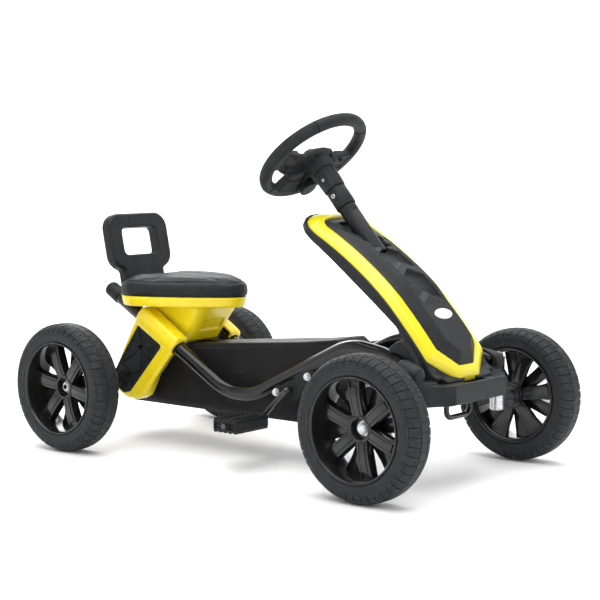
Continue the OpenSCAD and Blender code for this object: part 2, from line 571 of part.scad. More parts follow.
// ---------- front knuckles ----------
module knuckle(s) color([0.55, 0.55, 0.57]) {
  difference() {
    union() {
      translate([AX, s * KY, 104]) cylinder(h = 37.6, r = 14);
      translate([AX, s * KY, 141]) cylinder(h = 70, r = AR);
      if (s < 0) { ycyl(AX, ZW, -YF + 32.4, -KY, 10); ycyl(AX, ZW, -YF - 5.6, -KY, AR); }
      else { ycyl(AX, ZW, KY, YF - 32.4, 10); ycyl(AX, ZW, KY, YF + 5.6, AR); }
      translate([AX, s * KY, 198.6]) cylinder(h = 4.4, r = 14);
      translate([AX - arm_len, s * KY - 10, 198.6]) cube([arm_len, 20, 4.4]);
      translate([AX - arm_len, s * KY, 198.6]) cylinder(h = 4.4, r = 10);
      translate([AX - arm_len, s * KY, 176]) cylinder(h = 24, r = 4);
      translate([AX, s * KY, 203]) cylinder(h = 7, r = 10.4, $fn = 6);
    }
  }
  if (s < 0) place_right(AX, YF) hub_nut(); else place_left(AX, YF) hub_nut();
}
module right_knuckle() knuckle(-1);
module left_knuckle() knuckle(1);
module track_rod() color([0.5, 0.5, 0.52]) translate([AX - arm_len, 0, 0]) difference() {
  union() {
    ycyl(0, 184, -KY + 4, KY - 4, 5);
    for (s = [-1, 1]) translate([0, s * KY, 178]) cylinder(h = 20, r = 9);
    translate([0, 0, 178]) cylinder(h = 12, r = 8);
    translate([0, 0, 180]) cylinder(h = 30, r = 4);
  }
  for (s = [-1, 1]) translate([0, s * KY, 170]) cylinder(h = 40, r = 4 + run_gap);
}

right_side_tube();
left_side_tube();
tube_end_caps();
rear_cross_tube();
front_axle_beam();
centre_tube();
front_hoop();
rear_axle_brackets();
rear_bearings();
crank_bearings();
frame_bolts();
right_chain_case();
left_chain_case();
chain();
right_side_cover();
left_side_cover();
right_cover_insert();
left_cover_insert();
seat_pan();
seat_pad();
seat_brackets();
backrest();
seat_bolts();
bumper();
nose_base();
nose_trim();
nose_insert();
nose_badge();
column_cover();
column_bushes();
column_bracket();
rear_axle();
rear_sprocket();
axle_spacers();
rear_axle_nuts();
rear_left_tyre();
rear_left_rim();
rear_right_tyre();
rear_right_rim();
crank();
chainring();
pedal_clips();
right_pedal();
left_pedal();
steering_column();
steering_wheel();
wheel_pad();
horn_speaker();
upper_collar();
lower_collar();
column_bolts();
drop_arm();
horn_button();
right_knuckle();
left_knuckle();
track_rod();
front_right_tyre();
front_right_rim();
front_left_tyre();
front_left_rim();
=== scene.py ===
import json
import math

import bpy
import numpy as np
from mathutils import Matrix, Vector


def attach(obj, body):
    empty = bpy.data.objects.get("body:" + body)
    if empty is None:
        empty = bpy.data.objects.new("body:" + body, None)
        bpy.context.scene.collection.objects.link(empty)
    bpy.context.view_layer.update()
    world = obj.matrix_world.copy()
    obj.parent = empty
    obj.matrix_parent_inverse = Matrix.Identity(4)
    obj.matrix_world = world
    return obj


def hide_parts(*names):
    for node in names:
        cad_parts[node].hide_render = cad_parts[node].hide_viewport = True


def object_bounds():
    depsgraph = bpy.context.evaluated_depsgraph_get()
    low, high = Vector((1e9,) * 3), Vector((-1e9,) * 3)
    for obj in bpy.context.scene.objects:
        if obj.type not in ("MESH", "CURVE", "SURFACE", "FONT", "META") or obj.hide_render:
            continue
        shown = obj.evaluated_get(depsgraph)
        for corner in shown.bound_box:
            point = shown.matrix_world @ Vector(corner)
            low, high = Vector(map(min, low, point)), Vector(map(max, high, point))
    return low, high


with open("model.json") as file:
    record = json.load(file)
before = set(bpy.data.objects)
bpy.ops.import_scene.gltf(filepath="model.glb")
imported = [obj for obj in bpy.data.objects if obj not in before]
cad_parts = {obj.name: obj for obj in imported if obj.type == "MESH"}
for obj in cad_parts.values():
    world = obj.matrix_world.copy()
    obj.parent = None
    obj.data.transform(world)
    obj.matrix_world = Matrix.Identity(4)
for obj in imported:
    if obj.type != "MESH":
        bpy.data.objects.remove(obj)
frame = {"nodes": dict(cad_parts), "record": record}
CAD_LO, CAD_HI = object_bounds()
NODES = frame["nodes"]
BODY = {n: b for b, ns in frame["record"]["behaviour"]["bodies"].items() for n in ns}
scene = bpy.context.scene
D2R = math.pi / 180

# ------------------------------------------------------------------ camera
CAM = (1.8815358, -2.2475715, 0.5729194)
YAW, PITCH, ROLL = 0.6889538, 0.09315087, -0.00159257
fw = Vector((-math.cos(PITCH) * math.sin(YAW), math.cos(PITCH) * math.cos(YAW), -math.sin(PITCH)))
rt = fw.cross(Vector((0, 0, 1))).normalized()
up = rt.cross(fw)
r2 = math.cos(ROLL) * rt + math.sin(ROLL) * up
u2 = -math.sin(ROLL) * rt + math.cos(ROLL) * up
cam_data = bpy.data.cameras.new("camera")
cam = bpy.data.objects.new("camera", cam_data)
scene.collection.objects.link(cam)
cam.matrix_world = Matrix(((r2.x, u2.x, -fw.x, CAM[0]), (r2.y, u2.y, -fw.y, CAM[1]), (r2.z, u2.z, -fw.z, CAM[2]), (0, 0, 0, 1)))
cam_data.sensor_width = 36.0
cam_data.lens = 1539.879 * 36.0 / 600.0
cam_data.clip_start, cam_data.clip_end = 0.05, 60
scene.camera = cam

# ------------------------------------------------------------------ materials
def srgb(*c):
    return [(v / 255 / 12.92) if v / 255 <= 0.04045 else ((v / 255 + 0.055) / 1.055) ** 2.4 for v in c] + [1.0]


def material(name, lo, hi, rough=(0.4, 0.5), scale=40.0, grain=None, metallic=0.0, coat=0.0, coat_rough=0.1,
             ior=1.46, edge_tint=None, sheen=0.0, aniso=0.0, fine=None, spec=0.5, detail=4.0):
    """lo and hi are the base colour's two ends; grain and fine are (kind, scale, strength, distance)."""
    m = bpy.data.materials.new(name)
    m.use_nodes = True
    nt = m.node_tree
    nt.nodes.clear()
    L = nt.links
    out = nt.nodes.new("ShaderNodeOutputMaterial")
    bs = nt.nodes.new("ShaderNodeBsdfPrincipled")
    L.new(bs.outputs[0], out.inputs[0])
    bs.inputs["Metallic"].default_value = metallic
    bs.inputs["Coat Weight"].default_value = coat
    bs.inputs["Coat Roughness"].default_value = coat_rough
    bs.inputs["IOR"].default_value = ior
    bs.inputs["Sheen Weight"].default_value = sheen
    bs.inputs["Specular IOR Level"].default_value = spec
    bs.inputs["Anisotropic"].default_value = aniso
    co = nt.nodes.new("ShaderNodeTexCoord")
    n1 = nt.nodes.new("ShaderNodeTexNoise")
    n1.inputs["Scale"].default_value = scale
    n1.inputs["Detail"].default_value = detail
    L.new(co.outputs["Object"], n1.inputs["Vector"])
    ramp = nt.nodes.new("ShaderNodeValToRGB")
    ramp.color_ramp.elements[0].position = 0.30
    ramp.color_ramp.elements[1].position = 0.70
    ramp.color_ramp.elements[0].color = lo
    ramp.color_ramp.elements[1].color = hi
    L.new(n1.outputs["Fac"], ramp.inputs["Fac"])
    colour = ramp.outputs["Color"]
    if edge_tint:
        # (colour, amount): convex edges and high spots, found by pointiness, are mixed towards this lighter colour
        geo = nt.nodes.new("ShaderNodeNewGeometry")
        mr = nt.nodes.new("ShaderNodeMapRange")
        mr.inputs["From Min"].default_value = 0.52
        mr.inputs["From Max"].default_value = 0.62
        mr.inputs["To Max"].default_value = edge_tint[1]
        L.new(geo.outputs["Pointiness"], mr.inputs["Value"])
        mx = nt.nodes.new("ShaderNodeMix")
        mx.data_type = "RGBA"
        L.new(mr.outputs["Result"], mx.inputs["Factor"])
        L.new(colour, mx.inputs["A"])
        mx.inputs["B"].default_value = edge_tint[0]
        colour = mx.outputs["Result"]
    L.new(colour, bs.inputs["Base Color"])
    n2 = nt.nodes.new("ShaderNodeTexNoise")
    n2.inputs["Scale"].default_value = scale * 3.1
    n2.inputs["Detail"].default_value = 3
    L.new(co.outputs["Object"], n2.inputs["Vector"])
    mr2 = nt.nodes.new("ShaderNodeMapRange")
    mr2.inputs["From Min"].default_value = 0.3
    mr2.inputs["From Max"].default_value = 0.7
    mr2.inputs["To Min"].default_value = rough[0]
    mr2.inputs["To Max"].default_value = rough[1]
    L.new(n2.outputs["Fac"], mr2.inputs["Value"])
    L.new(mr2.outputs["Result"], bs.inputs["Roughness"])
    prev = None
    for g in (grain, fine):
        if not g:
            continue
        kind, sc_, st, dist = g
        if kind == "voronoi":
            t = nt.nodes.new("ShaderNodeTexVoronoi")
            t.inputs["Scale"].default_value = sc_
            val = t.outputs["Distance"]
        else:
            t = nt.nodes.new("ShaderNodeTexNoise")
            t.inputs["Scale"].default_value = sc_
            t.inputs["Detail"].default_value = 2
            val = t.outputs["Fac"]
        L.new(co.outputs["Object"], t.inputs["Vector"])
        b = nt.nodes.new("ShaderNodeBump")
        b.inputs["Strength"].default_value = st
        b.inputs["Distance"].default_value = dist
        L.new(val, b.inputs["Height"])
        if prev:
            L.new(prev, b.inputs["Normal"])
        prev = b.outputs["Normal"]
    if prev:
        L.new(prev, bs.inputs["Normal"])
    return m


M = {
    "yellow": material("yellow_plastic", srgb(240, 214, 18), srgb(246, 222, 28), (0.24, 0.32), 14, ("noise", 900, 0.05, 0.0003), coat=0.25, coat_rough=0.12),
    "yellow_nose": material("yellow_gloss", srgb(219, 203, 16), srgb(226, 210, 22), (0.20, 0.28), 12, ("noise", 700, 0.05, 0.0003), coat=0.35, coat_rough=0.10),
    "black": material("black_plastic", srgb(26, 27, 28), srgb(33, 34, 35), (0.40, 0.52), 30, ("voronoi", 1500, 0.20, 0.00025), fine=("noise", 4200, 0.08, 0.0001), spec=0.18),
    "case": material("case_plastic", srgb(26, 26, 27), srgb(33, 33, 35), (0.38, 0.50), 22, ("voronoi", 1100, 0.18, 0.00025), spec=0.12),
    "textured": material("textured_plastic", srgb(30, 31, 33), srgb(38, 39, 42), (0.46, 0.60), 60, ("voronoi", 900, 0.45, 0.0004), spec=0.15),
    "smooth_black": material("smooth_black_plastic", srgb(31, 33, 35), srgb(38, 40, 42), (0.36, 0.46), 40, ("noise", 2200, 0.12, 0.0002), spec=0.20),
    "paint": material("frame_paint", srgb(13, 13, 14), srgb(18, 18, 19), (0.14, 0.22), 25, ("noise", 420, 0.06, 0.0004), coat=0.3, coat_rough=0.07, spec=0.3),
    "tyre": material("tyre_rubber", srgb(34, 35, 37), srgb(44, 45, 47), (0.44, 0.60), 90, ("noise", 2600, 0.35, 0.0003), edge_tint=(srgb(70, 71, 73), 0.4), spec=0.22),
    "rim": material("rim_plastic", srgb(19, 19, 20), srgb(25, 25, 26), (0.15, 0.24), 45, ("noise", 1800, 0.06, 0.0002), coat=0.25, coat_rough=0.10, spec=0.40),
    "zinc": material("zinc_steel", srgb(176, 180, 184), srgb(216, 220, 222), (0.22, 0.42), 220, ("noise", 900, 0.10, 0.0002), metallic=1.0),
    "steel": material("dark_steel", srgb(64, 62, 60), srgb(104, 101, 97), (0.32, 0.50), 180, ("noise", 1500, 0.15, 0.0002), metallic=1.0),
    "vinyl": material("pad_vinyl", srgb(31, 32, 34), srgb(40, 41, 43), (0.42, 0.54), 50, ("voronoi", 720, 0.55, 0.0006), fine=("noise", 2600, 0.2, 0.0002), spec=0.20),
    "vinyl_band": material("pad_vinyl_band", srgb(31, 32, 34), srgb(39, 40, 42), (0.42, 0.52), 50, ("voronoi", 900, 0.35, 0.0004), spec=0.20),
    "vinyl_mesh": material("pad_vinyl_perforated", srgb(38, 39, 41), srgb(52, 53, 55), (0.44, 0.58), 120, ("voronoi", 330, 0.9, 0.0012), fine=("noise", 2600, 0.2, 0.0002), spec=0.15),
    "thread": material("stitch_thread", srgb(70, 70, 72), srgb(92, 92, 94), (0.7, 0.85), 600, ("noise", 5000, 0.4, 0.0002)),
    "grip": material("grip_plastic", srgb(37, 38, 39), srgb(46, 47, 48), (0.50, 0.62), 70, ("voronoi", 1300, 0.32, 0.0003), spec=0.14),
    "badge": material("badge_white", srgb(240, 241, 240), srgb(247, 247, 246), (0.22, 0.3), 60, ("noise", 900, 0.03, 0.0002), coat=0.4),
    "nylon": material("bush_nylon", srgb(214, 212, 204), srgb(226, 224, 216), (0.4, 0.5), 80, ("noise", 1500, 0.1, 0.0002)),
    "red": material("button_red", srgb(150, 20, 16), srgb(172, 28, 22), (0.28, 0.36), 60, ("noise", 1200, 0.06, 0.0002), coat=0.2),
    "crank_black": material("black_chrome", srgb(18, 18, 19), srgb(26, 26, 27), (0.10, 0.18), 60, ("noise", 900, 0.06, 0.0002), coat=0.7, coat_rough=0.05),
    # flat near-black painted shade, used for the seam and moulding-line rings on the steering wheel
    "dark": material("painted_seam_shade", srgb(12, 12, 12), srgb(17, 17, 17), (0.6, 0.7), 60, ("noise", 1500, 0.1, 0.0002), spec=0.10),
}

# ------------------------------------------------------------------ mesh helpers (all in mm)
def add(name, V, F, mat, body, replaces=(), smooth=True, sharp=None):
    V = np.asarray(V, float).reshape(-1, 3) * 0.001
    me = bpy.data.meshes.new(name)
    me.from_pydata([tuple(v) for v in V], [], [tuple(int(i) for i in f) for f in F])
    me.validate()
    me.update()
    o = bpy.data.objects.new(name, me)
    scene.collection.objects.link(o)
    me.materials.append(M[mat] if isinstance(mat, str) else mat)
    if smooth:
        me.polygons.foreach_set("use_smooth", [True] * len(me.polygons))
        if sharp:
            me.set_sharp_from_angle(angle=sharp * D2R)
    if body:
        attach(o, body)
    if replaces:
        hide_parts(*replaces)
    return o


class Geo:
    """Collects vertices and faces in mm, then becomes one object."""
    def __init__(self):
        self.v, self.f = [], []

    def put(self, V, F, T=None):
        V = np.asarray(V, float).reshape(-1, 3)
        if T is not None:
            T = np.asarray(T, float)
            V = V @ T[:3, :3].T + T[:3, 3]
            if np.linalg.det(T[:3, :3]) < 0:
                F = [tuple(reversed(f)) for f in F]
        b = sum(len(x) for x in self.v)
        self.v.append(V)
        self.f += [tuple(i + b for i in f) for f in F]
        return self

    def add(self, name, mat, body, replaces=(), **k):
        return add(name, np.concatenate(self.v), self.f, mat, body, replaces, **k)


def T(t=(0, 0, 0), ax=None, deg=0.0, R=None):
    m = np.eye(4)
    if ax is not None:
        m[:3, :3] = np.array(Matrix.Rotation(deg * D2R, 3, ax))
    if R is not None:
        m[:3, :3] = R
    m[:3, 3] = t
    return m


def lathe(prof, n=96, closed=False):
    """profile [(r, z)] turned about z. Closed profiles loop; open ones end on the axis or are capped."""
    P = [p for p in prof]
    V, F = [], []
    m = len(P)
    for i in range(n):
        a = 2 * math.pi * i / n
        for r, z in P:
            V.append((r * math.cos(a), r * math.sin(a), z))
    for i in range(n):
        j = (i + 1) % n
        for k in range(m if closed else m - 1):
            q = (k + 1) % m
            F.append((i * m + k, j * m + k, j * m + q, i * m + q))
    if not closed:
        for k, flip in ((0, True), (m - 1, False)):
            if P[k][0] > 1e-6:
                ring = [i * m + k for i in range(n)]
                F.append(tuple(reversed(ring)) if flip else tuple(ring))
    return weld(V, F)


def weld(V, F, tol=1e-4):
    V = np.asarray(V, float)
    key = np.round(V / tol).astype(np.int64)
    _, first, inv = np.unique(key, axis=0, return_index=True, return_inverse=True)
    inv = inv.reshape(-1)
    out = []
    for f in F:
        g = []
        for i in f:
            x = int(inv[i])
            if not g or g[-1] != x:
                g.append(x)
        if len(g) > 1 and g[0] == g[-1]:
            g.pop()
        if len(g) >= 3:
            out.append(tuple(g))
    return V[first], out


def rounded(poly, r, n=5):
    """Rounds the corners of a closed 2D polygon; r is one radius or one per corner."""
    P = [np.array(p, float) for p in poly]
    out = []
    for i, p in enumerate(P):
        a, b = P[i - 1], P[(i + 1) % len(P)]
        ri = r[i] if hasattr(r, "__len__") else r
        u, w = (a - p), (b - p)
        lu, lw = np.linalg.norm(u), np.linalg.norm(w)
        u, w = u / lu, w / lw
        c = float(np.clip(u @ w, -1, 1))
        th = math.acos(c)
        if ri <= 0 or th > math.pi - 0.02:
            out.append(tuple(p))
            continue
        t = min(ri / math.tan(th / 2), lu * 0.49, lw * 0.49)
        rr = t * math.tan(th / 2)
        cen = p + (u + w) / np.linalg.norm(u + w) * rr / math.sin(th / 2)
        s, e = p + u * t - cen, p + w * t - cen
        a0, a1 = math.atan2(s[1], s[0]), math.atan2(e[1], e[0])
        d = (a1 - a0 + math.pi) % (2 * math.pi) - math.pi
        for k in range(n + 1):
            q = a0 + d * k / n
            out.append(tuple(cen + rr * np.array([math.cos(q), math.sin(q)])))
    return out


def area2(P):
    P = np.asarray(P)
    return 0.5 * float(np.sum(P[:, 0] * np.roll(P[:, 1], -1) - np.roll(P[:, 0], -1) * P[:, 1]))


def loft(rings, cap=True):
    """Rings of equal count; joined in order, end rings capped."""
    m = len(rings[0])
    V = np.concatenate([np.asarray(r, float) for r in rings])
    F = []
    for i in range(len(rings) - 1):
        for k in range(m):
            q = (k + 1) % m
            F.append((i * m + k, i * m + q, (i + 1) * m + q, (i + 1) * m + k))
    if cap:
        F.append(tuple(reversed(range(m))))
        F.append(tuple((len(rings) - 1) * m + k for k in range(m)))
    return V, F


def inset(poly, d):
    """Moves each edge of a counter-clockwise polygon inwards by d (outwards if negative)."""
    P = [np.array(p, float) for p in poly]
    s = 1 if area2(P) > 0 else -1
    n = len(P)
    out = []
    for i in range(n):
        a, p, b = P[i - 1], P[i], P[(i + 1) % n]
        e1, e2 = p - a, b - p
        e1, e2 = e1 / np.linalg.norm(e1), e2 / np.linalg.norm(e2)
        n1, n2 = s * np.array([-e1[1], e1[0]]), s * np.array([-e2[1], e2[0]])
        k = 1 + float(n1 @ n2)
        out.append(tuple(p + (n1 + n2) * d / max(k, 0.3)))
    return out


def slab(poly, z0, z1, r=1.0, n=3, top_only=False):
    """Extrusion of a 2D polygon from z0 to z1 with rounded long edges."""
    if area2(poly) < 0:
        poly = poly[::-1]
    rings = []
    steps = [(r * (1 - math.sin(q * math.pi / 2 / n)), r * (1 - math.cos(q * math.pi / 2 / n))) for q in range(n + 1)]
    if not top_only and r > 0:
        for ins, dz in steps[::1]:
            pass
        for q in range(n + 1):
            a = q * math.pi / 2 / n
            rings.append((inset(poly, r * (1 - math.sin(a))), z0 + r * (1 - math.cos(a))))
    else:
        rings.append((poly, z0))
    if r > 0:
        for q in range(n + 1):
            a = q * math.pi / 2 / n
            rings.append((inset(poly, r * (1 - math.cos(a))), z1 - r * (1 - math.sin(a))))
    else:
        rings.append((poly, z1))
    return loft([[(x, y, z) for x, y in p] for p, z in rings])


XZ = np.array([[1, 0, 0], [0, 0, -1], [0, 1, 0]], float)   # local (x, y, z) -> world (x, -z, y): prisms drawn in the XZ plane


def wall(poly, y0, y1, r=1.0, n=3, side=1):
    """Outline in world XZ, from y0 to y1 on the +Y side (side=1) or the -Y side."""
    V, F = slab(poly, -y1, -y0, r, n)
    V = V @ XZ.T
    if side < 0:
        V = V * np.array([1, -1, 1])
        F = [tuple(reversed(f)) for f in F]
    return V, F


def sweep(path, r, n=24, cap=True, squash=None):
    """Round bar along a 3D path, rotation-minimising frame."""
    P = np.asarray(path, float)
    tang = np.gradient(P, axis=0)
    tang[0], tang[-1] = P[1] - P[0], P[-1] - P[-2]
    tang /= np.linalg.norm(tang, axis=1)[:, None]
    ref = np.array([0, 0, 1.0]) if abs(tang[0][2]) < 0.9 else np.array([0, 1.0, 0])
    nrm = np.cross(np.cross(tang[0], ref), tang[0])
    nrm /= np.linalg.norm(nrm)
    rings = []
    rr = r if hasattr(r, "__len__") else [r] * len(P)
    for i in range(len(P)):
        nrm = nrm - tang[i] * (nrm @ tang[i])
        nrm /= np.linalg.norm(nrm)
        b = np.cross(tang[i], nrm)
        rings.append([P[i] + rr[i] * (math.cos(2 * math.pi * k / n) * nrm + math.sin(2 * math.pi * k / n) * b) for k in range(n)])
    return loft(rings, cap)


def bent(points, radii, step=4.0):
    """Polyline through corner points with true bend radii."""
    P = [np.array(p, float) for p in points]
    out = [P[0]]
    for i in range(1, len(P) - 1):
        u = P[i] - P[i - 1]
        w = P[i + 1] - P[i]
        u /= np.linalg.norm(u)
        w /= np.linalg.norm(w)
        th = math.acos(float(np.clip(u @ w, -1, 1)))
        R = radii[i]
        t = R * math.tan(th / 2)
        c = P[i] + (w - u) / np.linalg.norm(w - u) * R / math.cos(th / 2)
        s = P[i] - u * t
        e1 = (s - c) / R
        e3 = np.cross(u, w)
        e3 /= np.linalg.norm(e3)
        e2 = np.cross(e3, e1)
        n = max(4, int(R * th / step))
        for k in range(n + 1):
            a = th * k / n
            out.append(c + R * (math.cos(a) * e1 + math.sin(a) * e2))
    out.append(P[-1])
    return out


# ------------------------------------------------------------------ signed distance helpers
def smin(a, b, k):
    h = np.clip(0.5 + 0.5 * (b - a) / k, 0, 1)
    return b * (1 - h) + a * h - k * h * (1 - h)


def smax(a, b, k):
    return -smin(-a, -b, k)


def ext(d2, w, r=0.0):
    a, b = d2 + r, w + r
    return np.minimum(np.maximum(a, b), 0) + np.hypot(np.maximum(a, 0), np.maximum(b, 0)) - r


def between(z, a, b):
    return np.maximum(a - z, z - b)


def poly2(px, py, V):
    V = np.asarray(V, float)
    d = None
    s = None
    n = len(V)
    for i in range(n):
        a, b = V[i], V[i - 1]
        e = b - a
        wx, wy = px - a[0], py - a[1]
        t = np.clip((wx * e[0] + wy * e[1]) / (e @ e), 0, 1)
        bx, by = wx - e[0] * t, wy - e[1] * t
        dd = bx * bx + by * by
        c1, c2, c3 = py >= a[1], py < b[1], e[0] * wy > e[1] * wx
        flip = (c1 & c2 & c3) | (~c1 & ~c2 & ~c3)
        if d is None:
            d, s = dd, np.where(flip, -1.0, 1.0)
        else:
            d = np.minimum(d, dd)
            s = np.where(flip, -s, s)
    return s * np.sqrt(d)


def rpoly(px, py, V, r):
    """Polygon distance with outer corners rounded to r."""
    return poly2(px, py, inset(V, r)) - r


def box(x, y, z, lo, hi, r=0.0):
    q = [np.abs(v - (l + h) / 2) - (h - l) / 2 + r for v, l, h in zip((x, y, z), lo, hi)]
    m = np.maximum(np.maximum(q[0], q[1]), q[2])
    return np.sqrt(np.maximum(q[0], 0) ** 2 + np.maximum(q[1], 0) ** 2 + np.maximum(q[2], 0) ** 2) + np.minimum(m, 0) - r


def capsule(x, y, z, a, b, r):
    a, b = np.array(a, float), np.array(b, float)
    e = b - a
    t = np.clip(((x - a[0]) * e[0] + (y - a[1]) * e[1] + (z - a[2]) * e[2]) / (e @ e), 0, 1)
    return np.sqrt((x - a[0] - e[0] * t) ** 2 + (y - a[1] - e[1] * t) ** 2 + (z - a[2] - e[2] * t) ** 2) - r


def rod(x, y, z, a, b, r, edge=0.0):
    """Cylinder with flat ends."""
    a, b = np.array(a, float), np.array(b, float)
    L = np.linalg.norm(b - a)
    e = (b - a) / L
    t = (x - a[0]) * e[0] + (y - a[1]) * e[1] + (z - a[2]) * e[2]
    q = np.sqrt(np.maximum((x - a[0]) ** 2 + (y - a[1]) ** 2 + (z - a[2]) ** 2 - t * t, 0))
    return ext(q - r, between(t, 0, L), edge)


def nets(fn, lo, hi, h, proj=2):
    """Surface mesh of fn = 0 inside the box: surface nets, then Newton steps on to the surface. Returns V, F in mm."""
    lo = np.array(lo, float) - 2.3 * h
    hi = np.array(hi, float) + 2.3 * h
    n = np.ceil((hi - lo) / h).astype(int) + 1
    ax = [lo[i] + h * np.arange(n[i]) for i in range(3)]
    X, Y, Z = ax[0][:, None, None], ax[1][None, :, None], ax[2][None, None, :]
    D = np.broadcast_to(fn(X, Y, Z), tuple(n)).astype(np.float32)
    D = np.where(np.abs(D) < 1e-5, 1e-5, D)
    neg = D < 0
    cells = np.zeros(tuple(n - 1), np.int8)
    for i in (0, 1):
        for j in (0, 1):
            for k in (0, 1):
                cells += neg[i:n[0] - 1 + i, j:n[1] - 1 + j, k:n[2] - 1 + k]
    ci = np.argwhere((cells > 0) & (cells < 8))
    idx = -np.ones(tuple(n - 1), np.int64)
    idx[ci[:, 0], ci[:, 1], ci[:, 2]] = np.arange(len(ci))
    pos = np.zeros((len(ci), 3))
    cnt = np.zeros(len(ci))
    corners = [(i, j, k) for i in (0, 1) for j in (0, 1) for k in (0, 1)]
    for a in corners:
        for d in range(3):
            if a[d] == 0:
                b = list(a)
                b[d] = 1
                d0 = D[ci[:, 0] + a[0], ci[:, 1] + a[1], ci[:, 2] + a[2]]
                d1 = D[ci[:, 0] + b[0], ci[:, 1] + b[1], ci[:, 2] + b[2]]
                m = (d0 < 0) != (d1 < 0)
                t = np.where(m, d0 / np.where(m, d0 - d1, 1), 0)
                p = np.tile(np.array(a, float), (len(ci), 1))
                p[:, d] += t
                pos[m] += p[m]
                cnt[m] += 1
    V = (ci + pos / cnt[:, None]) * h + lo
    F = []
    for d in range(3):
        e, g = (d + 1) % 3, (d + 2) % 3
        s0 = [slice(None)] * 3
        s1 = [slice(None)] * 3
        s0[d], s1[d] = slice(0, n[d] - 1), slice(1, n[d])
        A, B = neg[tuple(s0)], neg[tuple(s1)]
        q = np.argwhere(A != B)
        q = q[(q[:, e] > 0) & (q[:, g] > 0) & (q[:, e] < n[e] - 1) & (q[:, g] < n[g] - 1)]
        def cell(de, dg):
            c = q.copy()
            c[:, e] += de
            c[:, g] += dg
            return idx[c[:, 0], c[:, 1], c[:, 2]]
        quad = np.stack([cell(-1, -1), cell(0, -1), cell(0, 0), cell(-1, 0)], 1)
        inside_first = A[q[:, 0], q[:, 1], q[:, 2]]
        quad[~inside_first] = quad[~inside_first][:, ::-1]
        F.append(quad)
    F = np.concatenate(F)
    eps = 0.2 * h
    for _ in range(proj):
        x, y, z = V.T
        d = fn(x, y, z)
        gx = fn(x + eps, y, z) - fn(x - eps, y, z)
        gy = fn(x, y + eps, z) - fn(x, y - eps, z)
        gz = fn(x, y, z + eps) - fn(x, y, z - eps)
        G = np.stack([gx, gy, gz], 1) / (2 * eps)
        g2 = np.maximum((G ** 2).sum(1), 0.05)
        V = V - G * np.clip(d / g2, -0.5 * h, 0.5 * h)[:, None]
    return V, F


def moulded(name, fn, lo, hi, h, mat, body, replaces=(), mirror=False, Tm=None, proj=2, keep=None):
    V, F = nets(fn, lo, hi, h, proj)
    if Tm is not None:
        V = V @ Tm[:3, :3].T + Tm[:3, 3]
    o = add(name, V, F, mat, body, replaces)
    return o


def mirrored(name, src, mat, body, replaces=()):
    me = src.data
    V = np.empty(len(me.vertices) * 3)
    me.vertices.foreach_get("co", V)
    V = V.reshape(-1, 3) * 1000 * np.array([1, -1, 1])
    F = [tuple(reversed(p.vertices)) for p in me.polygons]
    return add(name, V, F, mat, body, replaces)


CC = np.array([63.0, 0, 574.0])
LEAN = 40.25 * D2R
SEAMS = (40, 150, 210, 320)
COL = np.eye(4)
COL[:3, :3] = np.array([[math.cos(LEAN), 0, -math.sin(LEAN)], [0, 1, 0], [math.sin(LEAN), 0, math.cos(LEAN)]])
COL[:3, 3] = CC

# ------------------------------------------------------------------ wheels
AX, ZW, YF, YR = 365.0, 125.0, 244.0, 236.0


def wheel_place(x, y):
    R = np.array([[1, 0, 0], [0, 0, -1], [0, 1, 0]], float) if y < 0 else np.array([[1, 0, 0], [0, 0, 1], [0, -1, 0]], float)
    return T((x, y, ZW), R=R)


